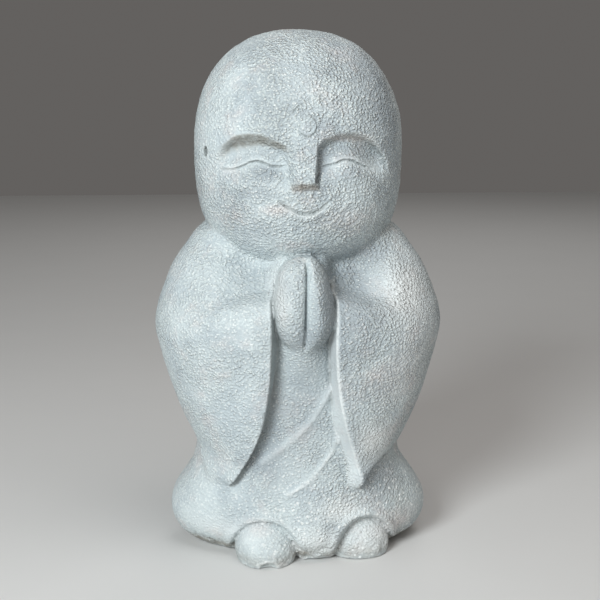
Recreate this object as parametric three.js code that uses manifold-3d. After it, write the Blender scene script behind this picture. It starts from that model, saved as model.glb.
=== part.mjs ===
// A stone jizo: a child monk with palms together, carved with its robe and feet from one block.
// Millimetres, +Z up. The face looks along -Y, so +X is the statue's left hand side.
// The origin lies on the ground, at the middle of the block's flat underside.

import * as THREE from "three";
import { mergeVertices } from "three/addons/utils/BufferGeometryUtils.js";
import Module from "manifold-3d";

const wasm = await Module();
wasm.setup();

// Driving dimensions

const HEIGHT = 600;

const HEAD = {
  halfWidth: 119,
  front: 118,
  back: 114,
  middle: 466, // height of the widest level
  chin: 331, // height of the lowest point, which is hidden in the neck
  crownPower: 2.35, // 2 is an ellipse, and more is squarer
  jawPower: 2.9,
  sectionPower: 2.1,
  lean: 0.01, // sideways, for each millimetre of height above the middle
};

// Horizontal sections of the mantle with its hanging sleeves: height, half width, front and back depth
const MANTLE = [
  [75, 104, 100, 80],
  [86, 115, 116, 86],
  [116, 118, 117, 92],
  [141, 129, 118, 95],
  [171, 142, 121, 99],
  [210, 156, 125, 104],
  [238, 164, 129, 107],
  [264, 167.5, 131, 108],
  [288, 164, 126, 109],
  [307, 157.5, 113, 108],
  [336, 145, 94, 103],
  [355, 132, 79, 97],
  [384, 105, 64, 84],
  [404, 60, 44, 52],
];
const MANTLE_POWER = 2.15;
// The lower edge of the mantle climbs from the sleeve tips to the back
const MANTLE_RISE = { amount: 15, below: 150, depth: 118 };

// Horizontal sections of the robe under it, from the hem up to the chest
const ROBE = [
  [0, 124, 62, 80],
  [12, 143, 76, 92],
  [26, 151, 87, 99],
  [43, 153.5, 94, 101],
  [60, 149.5, 97, 99],
  [80, 137.5, 98, 93],
  [101, 123.5, 97, 87],
  [118, 116.5, 96, 84],
  [160, 114, 98, 84],
  [240, 112, 103, 84],
  [300, 100, 96, 80],
  [330, 70, 70, 60],
];
const ROBE_POWER = 2.2;
const HEM_TONGUE = { x: 14, z: 6, spreadX: 33, spreadZ: 46, proud: 27 }; // the hem dips between the feet

// The hollows of the chest, above the forearms and beside the hands
const CHEST_HOLLOW = { x: 56, z: 325, spreadX: 36, spreadZ: 18, depth: 17 };

// Inner edges of the two sleeves: height, x where the wall leaves the sleeve, x where it meets the robe
const RIGHT_SLEEVE_EDGE = [
  [72, -100, -88],
  [88, -86, -75],
  [119, -66, -59],
  [150, -52, -46],
  [199, -41, -32],
  [247, -37, -25],
  [322, -37, -25],
];
const LEFT_SLEEVE_EDGE = [
  [72, 68, 50],
  [90, 67, 47],
  [119, 60, 41],
  [163, 47, 32],
  [199, 39, 31],
  [247, 34, 28],
  [322, 36, 30],
];
const SLEEVE_WALL_DEPTH = 24; // from the sleeve's face back to the robe

// The broad hem that borders the left sleeve and ends round:
// height, x of its middle, half width and half thickness
const SLEEVE_HEM = [
  [79, 57, 3, 3],
  [84, 57.5, 8, 8],
  [94, 57, 10.3, 9],
  [125, 50.8, 9.2, 8],
  [150, 42.5, 8, 7],
  [199, 35.5, 4.5, 5],
  [247, 31, 2.5, 3.5],
  [285, 32, 1.5, 3],
];
const SLEEVE_HEM_PROUD = 1.5; // in front of the sleeve's own edge

// The space that is cut out between the sleeves
const PANEL = { bottom: 72, top: 322, front: -150, back: -50 };

// One hand, as sections about its own upright axis; the two meet in the middle plane
const HAND = [
  [251, 7, 16, 12],
  [258, 14.5, 27, 14],
  [267, 18.4, 34, 14],
  [282, 20.5, 40, 14],
  [301, 21.7, 42, 14],
  [317, 20.8, 40, 14],
  [332, 17.4, 35, 14],
  [343, 15, 29, 12],
  [351, 11.6, 23, 10],
  [355.5, 6, 15, 8],
];
const HAND_AXIS_Y = -101;
const HAND_POWER = 2.4;
const HAND_AXIS_SHARE = 0.66; // the axis stands this share of the half width out from the middle plane

// The nose is a flat wedge that runs on from the forehead, cut off below with a chamfer back to the lip
const NOSE = {
  root: 492,
  tip: 437,
  foot: 429,
  rootHalf: 16,
  tipHalf: 10.5,
  footHalf: 14,
  proud: 10, // of the tip, in front of the face
  sunk: 0.7, // of the root and foot, behind the face
  buried: 30,
};

// The sunken eyes: under each brow the floor drops, swells to the lid and runs out into the cheek
const SOCKET = { outer: 91, cheek: 422, depth: 9, overlap: 1, clear: 12 };
// Share of the way outwards, and the brow's height there
const RIGHT_BROW = [[0, 472], [0.12, 479], [0.3, 487], [0.5, 490], [0.75, 487], [1, 476]];
const LEFT_BROW = [[0, 470], [0.1, 480], [0.28, 488], [0.5, 490], [0.75, 484], [1, 464]];
// Share of the way down to the cheek, or outwards, and there the share of the depth
const SOCKET_FALL = [[0, -0.14], [0.15, 1], [0.4, 0.95], [0.6, 0.66], [0.8, 0.25], [1, -0.06]];
const SOCKET_RUN = [[0, 1], [0.6, 1], [0.8, 0.55], [1, -0.06]];
const EYELID = { out: 0.44, down: 0.37, halfLength: 0.36, halfHeight: 0.13, swell: 4.5 };

// The closed eye is one line that rises over the middle of the lid
const EYE_LINE = { z: 453.5, rise: 6.5, radius: 1.6 };
const RIGHT_EYE = { from: 0.17, to: 0.9 }; // shares outwards
const LEFT_EYE = { from: 0.15, to: 0.72 };

const MOUTH = { halfWidth: 26, corner: 417, low: 403.5, radius: 1.8 };
const URNA = { x: 1, z: 496, radius: 9, proud: 1.8 };

// The feet: where each stands, how far it reaches forward, and its turn about the upright
const FEET = {
  right: { x: -45, y: -80, halfWidth: 36.5, reach: 42, height: 49, turn: 7 },
  left: { x: 68, y: -58, halfWidth: 31, reach: 32, height: 46, turn: 10 },
};
// Share of a foot's height, and there its shares of half width and reach
const FOOT = [
  [-0.1, 0.9, 0.95],
  [0.15, 1, 1],
  [0.45, 0.95, 0.9],
  [0.75, 0.74, 0.66],
  [0.93, 0.42, 0.36],
  [1, 0.12, 0.1],
];
const FOOT_POWER = 2.3;
const ARCH = { gap: 4, back: -56 }; // the hem's hollow over a foot, and how far it is cut in

// Thin raised folds across the robe's front: points of x and height, from the left sleeve downwards
const FOLDS = [
  [[36, 204], [20, 182], [6, 159], [-8, 141], [-23, 126], [-40, 112]],
  [[40, 143], [29, 121], [16, 103], [1, 91], [-19, 80]],
];
const FOLD_RADIUS = 3;
const FOLD_SUNK = 1.4;

// Facets
const HEAD_SIDES = 40;
const HEAD_RINGS = 24;
const MANTLE_SIDES = 48;
const MANTLE_RINGS = 24;
const ROBE_SIDES = 44;
const ROBE_RINGS = 18;
const HAND_SIDES = 16;
const HAND_RINGS = 12;
const SLEEVE_HEM_RINGS = 16;
const FOOT_SIDES = 20;
const FOOT_RINGS = 8;
const SOCKET_STEPS = [12, 12];
const URNA_STEPS = [14, 8];
const LINE_POINTS = 6;
const PANEL_STEPS = 28;
const TUBE_STEPS = 10;
const TUBE_SIDES = 3;
const MERGE = 1e-4;
const SLIVER = 0.06; // facets whose loss moves the surface less than this are merged

// Solids and geometry

// A closed geometry as a manifold solid
function solid(geometry) {
  const bare = new THREE.BufferGeometry();
  bare.setAttribute("position", geometry.getAttribute("position"));
  bare.setIndex(geometry.index);
  const merged = mergeVertices(bare, MERGE);
  const vertProperties = new Float32Array(merged.getAttribute("position").array);
  const triVerts = new Uint32Array(merged.index.array);
  return new wasm.Manifold(new wasm.Mesh({ numProp: 3, vertProperties, triVerts }));
}

// A manifold solid as a flat-shaded geometry
function geometryOf(made) {
  const mesh = made.getMesh();
  const geometry = new THREE.BufferGeometry();
  geometry.setAttribute("position", new THREE.BufferAttribute(mesh.vertProperties, mesh.numProp));
  geometry.setIndex(new THREE.BufferAttribute(mesh.triVerts, 1));
  const flat = geometry.toNonIndexed();
  flat.computeVertexNormals();
  return flat;
}

// The geometry with each of its vertices moved by a function of its place
function moulded(geometry, move) {
  const place = geometry.getAttribute("position");
  const p = new THREE.Vector3();
  for (let i = 0; i < place.count; i++) {
    p.fromBufferAttribute(place, i);
    move(p);
    place.setXYZ(i, p.x, p.y, p.z);
  }
  return geometry;
}

const bell = (t) => Math.exp(-t * t);

// A smooth function of height through rows of [height, value, value ...]
function graph(rows) {
  const values = rows[0].length - 1;
  const heights = rows.map((row) => row[0]);
  const samples = rows.flatMap((row) => row.slice(1));
  const spline = new THREE.CubicInterpolant(heights, samples, values, new Float32Array(values));
  const low = heights[0];
  const high = heights.at(-1);
  return (z) => Array.from(spline.evaluate(THREE.MathUtils.clamp(z, low, high)));
}

function evenly(from, to, steps) {
  return Array.from({ length: steps + 1 }, (_, i) => THREE.MathUtils.lerp(from, to, i / steps));
}

// A closed form through horizontal sections, each a squarish oval with its own half width, front and back
function lofted(sectionAt, heights, sides, power) {
  const outline = heights.map((z) => new THREE.Vector2(1, z));
  outline.unshift(new THREE.Vector2(0, heights[0]));
  outline.push(new THREE.Vector2(0, heights.at(-1)));
  const drum = new THREE.LatheGeometry(outline, sides).rotateX(Math.PI / 2);
  return moulded(drum, (p) => {
    const [halfWidth, front, back] = sectionAt(p.z);
    const round = Math.hypot(p.x, p.y);
    const oval = (Math.abs(p.x) ** power + Math.abs(p.y) ** power) ** (1 / power);
    const reach = oval > 0 ? (round * round) / oval : 0;
    p.x *= reach * halfWidth;
    p.y *= reach * (p.y < 0 ? front : back);
  });
}

// How far forward an oval section stands at x
function frontOf([halfWidth, front], x, power) {
  const across = Math.min(1, Math.abs(x) / halfWidth);
  return -front * (1 - across ** power) ** (1 / power);
}

// A round bar along a smooth line
function tube(points, radius) {
  const path = new THREE.CatmullRomCurve3(points);
  const section = new THREE.Shape().absarc(0, 0, radius, 0, 2 * Math.PI);
  const options = { steps: TUBE_STEPS, extrudePath: path, curveSegments: TUBE_SIDES };
  return new THREE.ExtrudeGeometry(section, options);
}

const joined = (solids) => solids.reduce((whole, piece) => whole.add(piece));

// Head and face

function headSection(z) {
  const up = z > HEAD.middle;
  const reach = up ? HEIGHT - HEAD.middle : HEAD.middle - HEAD.chin;
  const power = up ? HEAD.crownPower : HEAD.jawPower;
  const t = Math.min(1, Math.abs(z - HEAD.middle) / reach);
  const share = (1 - t ** power) ** (1 / power);
  return [HEAD.halfWidth * share, HEAD.front * share, HEAD.back * share];
}

const faceAt = (x, z) => frontOf(headSection(z), x, HEAD.sectionPower);

function skull() {
  const latitude = evenly(-Math.PI / 2, Math.PI / 2, HEAD_RINGS);
  const heights = latitude.map((a) => {
    const reach = a > 0 ? HEIGHT - HEAD.middle : HEAD.middle - HEAD.chin;
    return HEAD.middle + reach * Math.sin(a);
  });
  const form = lofted(headSection, heights, HEAD_SIDES, HEAD.sectionPower);
  moulded(form, (p) => {
    p.x += HEAD.lean * Math.max(0, p.z - HEAD.middle);
  });
  return solid(form);
}

function noseHalf(z) {
  const fall = (NOSE.root - z) / (NOSE.root - NOSE.tip);
  return THREE.MathUtils.lerp(NOSE.rootHalf, NOSE.tipHalf, THREE.MathUtils.clamp(fall, 0, 1));
}

function nose() {
  const rootY = faceAt(0, NOSE.root) + NOSE.sunk;
  const tipY = faceAt(0, NOSE.tip) - NOSE.proud;
  const footY = faceAt(0, NOSE.foot) + NOSE.sunk;
  const buried = rootY + NOSE.buried;
  const profile = new THREE.Shape([
    new THREE.Vector2(buried, NOSE.root),
    new THREE.Vector2(rootY, NOSE.root),
    new THREE.Vector2(tipY, NOSE.tip),
    new THREE.Vector2(footY, NOSE.foot),
    new THREE.Vector2(buried, NOSE.foot),
  ]);
  const wedge = new THREE.ExtrudeGeometry(profile, { depth: 2, bevelEnabled: false });
  moulded(wedge, (p) => {
    const [y, z, side] = [p.x, p.y, p.z - 1];
    const half = z > NOSE.foot ? noseHalf(z) : NOSE.footHalf;
    p.set(side * half, y, z);
  });
  return solid(wedge);
}

const socketFall = graph(SOCKET_FALL);
const socketRun = graph(SOCKET_RUN);

// The floor of an eye socket, by the share outwards along the brow and the share down to the cheek
function socketFloor(side, brow, out, down) {
  const [browZ] = brow(out);
  const z = THREE.MathUtils.lerp(browZ, SOCKET.cheek, down);
  const x = THREE.MathUtils.lerp(noseHalf(z) - SOCKET.overlap, SOCKET.outer, out);
  const lidOut = (out - EYELID.out) / EYELID.halfLength;
  const lidDown = (down - EYELID.down) / EYELID.halfHeight;
  const lid = EYELID.swell * bell(lidOut) * bell(lidDown);
  const sunk = SOCKET.depth * socketFall(down)[0] * socketRun(out)[0];
  return new THREE.Vector3(side * x, faceAt(x, z) + sunk - lid, z);
}

// The space in front of a socket's floor
function socket(side, brow) {
  const [across, down] = SOCKET_STEPS;
  const block = new THREE.BoxGeometry(2, 2, 2, across, 1, down);
  moulded(block, (p) => {
    const out = (1 + side * p.x) / 2;
    const floor = socketFloor(side, brow, out, (1 - p.z) / 2);
    const y = p.y < 0 ? -HEAD.front - SOCKET.clear : floor.y;
    p.set(floor.x, y, floor.z);
  });
  return solid(block);
}

function eyeLine(side, brow, { from, to }) {
  const points = evenly(0, 1, LINE_POINTS).map((t) => {
    const out = THREE.MathUtils.lerp(from, to, t);
    const z = EYE_LINE.z + EYE_LINE.rise * Math.sin(Math.PI * t);
    const [browZ] = brow(out);
    return socketFloor(side, brow, out, (browZ - z) / (browZ - SOCKET.cheek));
  });
  return solid(tube(points, EYE_LINE.radius));
}

function mouth() {
  const points = evenly(-1, 1, LINE_POINTS).map((t) => {
    const x = t * MOUTH.halfWidth;
    const z = THREE.MathUtils.lerp(MOUTH.low, MOUTH.corner, t * t);
    return new THREE.Vector3(x, faceAt(x, z), z);
  });
  return solid(tube(points, MOUTH.radius));
}

// The round mark on the forehead
function urna() {
  const dot = new THREE.SphereGeometry(URNA.radius, ...URNA_STEPS).rotateX(Math.PI / 2);
  dot.scale(1, (2 * URNA.proud) / URNA.radius, 1);
  return solid(dot.translate(URNA.x, faceAt(URNA.x, URNA.z) + URNA.proud, URNA.z));
}

function head() {
  const eyes = [
    [-1, graph(RIGHT_BROW), RIGHT_EYE],
    [1, graph(LEFT_BROW), LEFT_EYE],
  ];
  const sockets = joined(eyes.map(([side, brow]) => socket(side, brow)));
  const lines = joined([mouth(), ...eyes.map((eye) => eyeLine(...eye))]);
  return skull().subtract(sockets).add(nose()).add(urna()).subtract(lines);
}

// Mantle and sleeves

const mantleSection = graph(MANTLE);
const robeSection = graph(ROBE);

function mantle() {
  const heights = evenly(MANTLE[0][0], MANTLE.at(-1)[0], MANTLE_RINGS);
  const form = lofted(mantleSection, heights, MANTLE_SIDES, MANTLE_POWER);
  moulded(form, (p) => {
    const across = (Math.abs(p.x) - CHEST_HOLLOW.x) / CHEST_HOLLOW.spreadX;
    const up = (p.z - CHEST_HOLLOW.z) / CHEST_HOLLOW.spreadZ;
    if (p.y < 0) p.y += CHEST_HOLLOW.depth * bell(across) * bell(up);
    const low = Math.max(0, (MANTLE_RISE.below - p.z) / (MANTLE_RISE.below - MANTLE[0][0]));
    const behind = Math.max(0, 1 + p.y / MANTLE_RISE.depth);
    p.z += MANTLE_RISE.amount * low * behind;
  });
  return solid(form);
}

// The space between the sleeves, whose leaning side walls are the sleeves' inner edges
function frontPanel() {
  const rightEdge = graph(RIGHT_SLEEVE_EDGE);
  const leftEdge = graph(LEFT_SLEEVE_EDGE);
  const block = new THREE.BoxGeometry(3, 3, 2, 1, 3, PANEL_STEPS);
  moulded(block, (p) => {
    const z = THREE.MathUtils.mapLinear(p.z, -1, 1, PANEL.bottom, PANEL.top);
    const [edge, inner] = p.x < 0 ? rightEdge(z) : leftEdge(z);
    const sleeveFace = frontOf(mantleSection(z), edge, MANTLE_POWER);
    const wallFoot = sleeveFace + SLEEVE_WALL_DEPTH;
    const layers = [
      [edge, PANEL.front],
      [edge, sleeveFace],
      [inner, wallFoot],
      [inner, PANEL.back],
    ];
    p.set(...layers[Math.round(p.y + 1.5)], z);
  });
  return solid(block);
}

function sleeveHem() {
  const rows = graph(SLEEVE_HEM);
  const edgeAt = graph(LEFT_SLEEVE_EDGE);
  const heights = evenly(SLEEVE_HEM[0][0], SLEEVE_HEM.at(-1)[0], SLEEVE_HEM_RINGS);
  const sectionAt = (z) => {
    const [, halfWidth, half] = rows(z);
    return [halfWidth, half, half];
  };
  const form = lofted(sectionAt, heights, HAND_SIDES, HAND_POWER);
  moulded(form, (p) => {
    const [middle, , half] = rows(p.z);
    const face = frontOf(mantleSection(p.z), edgeAt(p.z)[0], MANTLE_POWER);
    p.x += middle;
    p.y += face + half - SLEEVE_HEM_PROUD;
  });
  return solid(form);
}

// Hands

function hand(side) {
  const sectionAt = graph(HAND);
  const heights = evenly(HAND[0][0], HAND.at(-1)[0], HAND_RINGS);
  const form = lofted(sectionAt, heights, HAND_SIDES, HAND_POWER);
  moulded(form, (p) => {
    const [halfWidth] = sectionAt(p.z);
    p.x += side * HAND_AXIS_SHARE * halfWidth;
    p.y += HAND_AXIS_Y;
  });
  return solid(form);
}

// Robe, hem and feet

function foot({ x, y, halfWidth, reach, height, turn }, gap = 0) {
  const shares = graph(FOOT);
  const top = height + gap;
  const sectionAt = (z) => {
    const [wide, far] = shares(z / top);
    return [wide * (halfWidth + gap), far * (reach + gap), far * (reach + gap)];
  };
  const heights = evenly(FOOT[0][0], 1, FOOT_RINGS).map((share) => share * top);
  const form = lofted(sectionAt, heights, FOOT_SIDES, FOOT_POWER);
  return solid(form.rotateZ(THREE.MathUtils.degToRad(turn)).translate(x, y, 0));
}

// How far the robe's front stands forward of its oval section, where the hem dips between the feet
function tongueAt(x, z) {
  const across = (x - HEM_TONGUE.x) / HEM_TONGUE.spreadX;
  const up = (z - HEM_TONGUE.z) / HEM_TONGUE.spreadZ;
  return HEM_TONGUE.proud * bell(across) * bell(up);
}

function robe() {
  const heights = evenly(ROBE[0][0], ROBE.at(-1)[0], ROBE_RINGS);
  const oval = lofted(robeSection, heights, ROBE_SIDES, ROBE_POWER);
  const form = moulded(oval, (p) => {
    const front = frontOf(robeSection(p.z), p.x, ROBE_POWER);
    if (p.y < 0) p.y -= tongueAt(p.x, p.z) * Math.min(1, p.y / Math.min(front, -1));
  });
  const arches = joined(Object.values(FEET).map((size) => foot(size, ARCH.gap)));
  return solid(form).subtract(arches.trimByPlane([0, -1, 0], -ARCH.back));
}

function fold(points) {
  const onRobe = points.map(([x, z]) => {
    const y = frontOf(robeSection(z), x, ROBE_POWER) - tongueAt(x, z);
    return new THREE.Vector3(x, y + FOLD_SUNK, z);
  });
  return solid(tube(onRobe, FOLD_RADIUS));
}

// The whole figure, cut flat at the ground

function statue() {
  const sleeves = mantle().subtract(frontPanel());
  const hands = [-1, 1].map(hand);
  const feet = Object.values(FEET).map((size) => foot(size));
  const figure = joined([robe(), sleeves, sleeveHem(), head(), ...hands, ...feet, ...FOLDS.map(fold)]);
  return figure.trimByPlane([0, 0, 1], 0).simplify(SLIVER);
}

const paleStone = new THREE.MeshStandardMaterial({ color: 0xbcc6c5, roughness: 0.9, metalness: 0 });

const jizo = new THREE.Group();
const carving = new THREE.Mesh(geometryOf(statue()), paleStone);
carving.name = "jizo_statue";
jizo.add(carving);

export default jizo;
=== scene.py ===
"""Dresses the stone jizo statue: carves it finely, hammers its skin, colours it and puts it on a stage."""

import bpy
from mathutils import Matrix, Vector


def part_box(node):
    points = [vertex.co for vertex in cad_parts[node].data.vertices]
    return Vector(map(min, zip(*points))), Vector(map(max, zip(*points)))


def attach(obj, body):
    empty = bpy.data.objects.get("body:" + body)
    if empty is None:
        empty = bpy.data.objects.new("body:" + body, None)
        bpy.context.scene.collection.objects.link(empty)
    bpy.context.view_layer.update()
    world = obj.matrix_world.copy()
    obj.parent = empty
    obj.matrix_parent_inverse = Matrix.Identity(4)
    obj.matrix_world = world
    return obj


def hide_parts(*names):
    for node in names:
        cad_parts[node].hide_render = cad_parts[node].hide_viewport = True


bl_info = {
    "name": "Stone Jizo Statue",
    "version": (1, 0, 0),
    "blender": (4, 5, 0),
    "location": "View3D > Sidebar > Jizo",
    "description": "Carves a small standing stone jizo with a hammered skin and sets it on a studio floor",
    "category": "Object",
}

import math

import bmesh
import bpy
import numpy as np
from bpy.props import FloatProperty, FloatVectorProperty, IntProperty, PointerProperty
from bpy.types import Operator, Panel, PropertyGroup

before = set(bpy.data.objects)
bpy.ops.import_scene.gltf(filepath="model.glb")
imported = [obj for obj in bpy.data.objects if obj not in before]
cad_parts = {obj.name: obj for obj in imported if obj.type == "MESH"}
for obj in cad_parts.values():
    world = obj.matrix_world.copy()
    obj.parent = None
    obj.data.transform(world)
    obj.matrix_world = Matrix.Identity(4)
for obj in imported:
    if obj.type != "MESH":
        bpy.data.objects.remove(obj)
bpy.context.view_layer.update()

BODY = "root"
NODE = "jizo_statue"
STONE_LOW, STONE_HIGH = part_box(NODE)

# The carving is worked out in millimetres, x to the viewer's right, the face along -y and z up.
MM = 0.001

HEIGHT = (STONE_HIGH[2] - STONE_LOW[2]) / MM

# Head: an egg whose section is nearly round, fuller at the jaw than at the crown
HEAD_HALF_WIDTH = 119.0
HEAD_FRONT = 118.0
HEAD_BACK = 114.0
HEAD_MIDDLE = 466.0
HEAD_CHIN = 331.0
CROWN_POWER = 2.3
JAW_POWER = 2.78
HEAD_SECTION_POWER = 2.1
HEAD_LEAN = -0.01
NECK_CREASE = 3.0

# Guards against dividing by zero on an axis
OFF_AXIS = 1e-3
LEAST_RATIO = 1e-7

# Heights between which the grid carries the face, and how far forward it starts and is full
FACE_LOW = 350.0
FACE_HIGH = 516.0
FACE_AHEAD = [-20.0, -62.0]

# Brows, as [distance out from the face's middle, height] of the socket's upper edge
RIGHT_BROW = [
    [8, 466], [12, 471], [19, 476], [32, 482], [47, 488], [61, 488.6], [76, 485], [84, 479], [95, 471],
    [112, 455],
]
LEFT_BROW = [
    [8, 462], [12, 471], [18, 480.6], [29, 486.7], [43, 489.7], [60, 488.4], [75, 481], [85, 471], [91, 461],
    [97, 446],
]
RIGHT_BROW_BAND = 14.0
LEFT_BROW_BAND = 9.0
RIGHT_SOCKET_DEPTH = 10.0
LEFT_SOCKET_DEPTH = 12.0
SOCKET_FLAT = 20.0
RIGHT_SOCKET_FALL = 58.0
LEFT_SOCKET_FALL = 48.0
SOCKET_OUTER = [72.0, 104.0]
SOCKET_CORNER = [462.0, 436.0]
SOCKET_CORNER_OUT = [56.0, 82.0]
RIGHT_NOSE_WALL = 13.0
LEFT_NOSE_WALL = 3.0

# Closed eyes, as [distance out from the face's middle, height] of the line under each lid
RIGHT_EYE = [
    [18, 455], [25, 454.2], [36, 455], [43, 458], [50.5, 459.8], [59, 457.4], [66, 453.6], [75, 450.2],
    [90, 450],
]
LEFT_EYE = [
    [16, 453], [22.7, 454.6], [34, 457.6], [40.5, 460.2], [49, 460.2], [57, 457], [65.6, 453], [76, 451],
]
RIGHT_EYE_ENDS = [22.0, 90.0]
LEFT_EYE_ENDS = [20.0, 68.0]
EYE_FADE = 4.0
EYE_TAIL = [3.0, -6.0]
EYE_LINE_DEPTH = 2.4
EYE_LINE_HALF = 1.1
LID_MIDDLE = 49.0
LID_SPREAD = 27.0
LID_EDGE = [-1.0, 1.4]
LID_TOP = [22.5, 0.0]
LID_SWELL = 4.2
BALL_DROP = 5.0
BALL_RADIUS = 19.0
BALL_SWELL = 4.0

NOSE_ROOT = 492.0
NOSE_TIP = 437.0
NOSE_FOOT = 428.5
NOSE_ROOT_HALF = 15.0
NOSE_TIP_HALF = 10.8
NOSE_FOOT_HALF = 14.6
NOSE_FOOT_TAPER = 1.0
NOSE_PROUD = 10.0
NOSE_ROUNDING = 0.12
RIGHT_NOSE_EDGE = 4.5
LEFT_NOSE_EDGE = 1.3

MOUTH = [[-28, 417.5], [-21, 412], [-13, 407.7], [-3.7, 404], [5.5, 403.6], [15.3, 407], [25.5, 415.5]]
MOUTH_ENDS = [-27.5, 25.0]
MOUTH_FADE = 4.0
MOUTH_DEPTH = 4.4
MOUTH_HALF = 1.6
LIP_SWELL = 2.2
LIP_DROP = 6.5
LIP_HALF = [17.0, 4.0]
CORNER_SWELL = 1.2
CORNER_OUT = 27.0
CORNER_RISE = 3.0
CORNER_HALF = 8.0

# Low swells of the muzzle, the cheeks and the chin: middle x and height, half width and height, rise
SWELLS = [
    (0.0, 411.0, 26.0, 14.0, 2.5), (-58.0, 414.0, 26.0, 24.0, 2.5), (56.0, 414.0, 26.0, 24.0, 2.5),
    (2.0, 386.0, 24.0, 12.0, 2.5),
]

URNA_X = 2.5
URNA_Z = 497.0
URNA_RADIUS = 9.8
URNA_PROUD = 2.4
URNA_EDGE = [1.2, -1.6]
URNA_RING = 0.72
URNA_RING_HALF = 1.3
URNA_RING_DEPTH = 1.5
URNA_STROKE = 4.2
URNA_STROKE_DEPTH = 1.6
URNA_INNER = [0.75, 0.4]

# Short cracks in the forehead, each a line of [x, height]
CRACKS = [[[-12, 511], [-8, 516], [-3, 520], [2, 523], [8, 527]], [[17, 522], [17.4, 527], [17, 532]]]
CRACK_HALF = 0.9
CRACK_DEPTH = 1.4

# A drilled-looking pit at the temple: its middle and its half sizes
TEMPLE_PIT = [-106.0, -56.0, 467.0]
TEMPLE_PIT_HALF = [15.0, 3.2, 5.2]
TEMPLE_PIT_EDGE = 1.0

# Mantle over both arms, as [height, half width, front, back]
MANTLE = [
    [75, 104, 100, 80], [86, 115, 116, 86], [116, 118, 117, 92], [141, 129, 118, 95], [171, 142, 121, 99],
    [210, 155, 125, 104], [238, 162.5, 129, 107], [264, 167.5, 131, 108], [288, 164, 126, 109],
    [307, 157.5, 113, 108], [336, 145, 94, 103], [355, 132, 79, 97], [384, 105, 64, 84], [404, 60, 44, 52],
]
MANTLE_POWER = 2.15
MANTLE_BOTTOM = 75.0
MANTLE_RISE = 15.0
MANTLE_RISE_BELOW = 150.0
MANTLE_RISE_DEPTH = 118.0
MANTLE_AHEAD = [20.0, -50.0]
MANTLE_EDGE = 3.0

# Hollows of the chest between the upper arms, the forearms and the hands
HOLLOW_DEPTH = [25.0, 31.0]
HOLLOW_SHELF = 313.0
HOLLOW_SHELF_SLOPE = 0.2
HOLLOW_SHELF_FADE = [-8.0, 4.0]
HOLLOW_TOP = [334.0, 378.0]
HOLLOW_IN = [20.0, 40.0]
HOLLOW_OUT = [56.0, 112.0]
HOLLOW_AHEAD = [-20.0, -60.0]

# Inner edges of the sleeves, as [height, edge at the sleeve's face, foot of its wall]
RIGHT_SLEEVE = [
    [72, -100, -92], [88, -86, -79], [119, -66, -61], [150, -52, -48], [199, -41, -36], [247, -37.5, -31],
    [322, -37.5, -31],
]
LEFT_SLEEVE = [
    [72, 68, 16], [80, 68, 22], [90, 67, 31], [105, 64, 37], [119, 60, 40], [163, 47, 32], [199, 39, 31],
    [247, 34, 28], [322, 36, 30],
]
SLEEVE_WALL = 24.0
PANEL_TOP = 322.0
PANEL_BACK = -50.0
SLEEVE_EDGE = 0.9

# Fillet between the sleeves and the robe: its least, and what is added on both sides and on the right
SLEEVE_JOIN = 1.2
LEFT_SLEEVE_JOIN = 5.0
RIGHT_SLEEVE_JOIN = 10.0
SLEEVE_JOIN_OUT = [3.0, 25.0]
SLEEVE_JOIN_SIDE = [20.0, -60.0]

# Lower edge of the sleeves in front, as [x, height]
SLEEVE_BOTTOM = [
    [-125, 128], [-112, 108], [-100, 84], [-90, 76], [-70, 75], [0, 75], [42, 81], [52, 80], [59, 83],
    [66, 92], [73, 102], [82, 111], [94, 119], [109, 126], [125, 132],
]
SLEEVE_BOTTOM_BACK = 104.0

# Praying hands, as [height, reach out from the seam, reach forward of the hand's axis]
RIGHT_HAND = [
    [249, 7, 10], [256, 17, 21], [263, 25, 29], [275, 31, 36], [289, 33.2, 40], [300, 33.5, 41.5],
    [313, 32.5, 40], [328, 30, 36], [343, 24.5, 28], [349.5, 18.5, 20], [353, 12, 12], [355, 6, 6],
]
LEFT_HAND = [
    [249, 8, 10], [256, 17, 22], [265, 26.5, 32], [275, 32, 38], [283, 34.5, 41], [299, 33.8, 43.5],
    [318, 29.8, 41], [338, 23, 33], [346, 18.5, 27], [352, 14, 20], [355, 9, 13],
]
HANDS_BOTTOM = RIGHT_HAND[0][0]
HANDS_TOP = RIGHT_HAND[-1][0]
HAND_AXIS_Y = -101.0
HAND_BACK = 50.0
HAND_OVERLAP = 8.0
RIGHT_HAND_POWER = 2.3
LEFT_HAND_POWER = 1.75
SEAM_TOP = 1.3
SEAM_LEAN = 0.028
SEAM_BEVEL = 5.2
SEAM_DEPTH = 2.5
SEAM_HALF = 1.3
PALM_GAP = 0.3
PALM_EDGE = 2.0
PALM_JOIN = 0.8
BEVEL_SLOPE = [0.83, 0.56]
BEVEL_REACH = 0.97
BEVEL_EDGE = 1.0
HAND_FRONT = [-112.0, -122.0]
HAND_MIDDLE = 282.0
HAND_JOIN = 2.0
HAND_JOIN_BELOW = 7.0

# Robe down to the ground, as [height, half width, front, back]
ROBE = [
    [0, 121, 62, 80], [12, 139, 76, 92], [26, 149, 87, 99], [43, 153, 94, 101], [60, 149.5, 97, 99],
    [80, 137.5, 98, 93], [101, 123.5, 97, 87], [118, 116.5, 96, 84], [160, 108, 98, 80], [200, 95, 100, 76],
    [240, 80, 103, 70], [300, 62, 97, 60], [330, 40, 70, 40],
]
ROBE_POWER = 2.2
TONGUE_X = 14.0
TONGUE_Z = 6.0
TONGUE_SPREAD_X = 33.0
TONGUE_SPREAD_Z = 46.0
TONGUE_PROUD = 27.0
TONGUE_AHEAD = [0.0, -50.0]
FOLD_AHEAD = [-30.0, -60.0]

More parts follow.
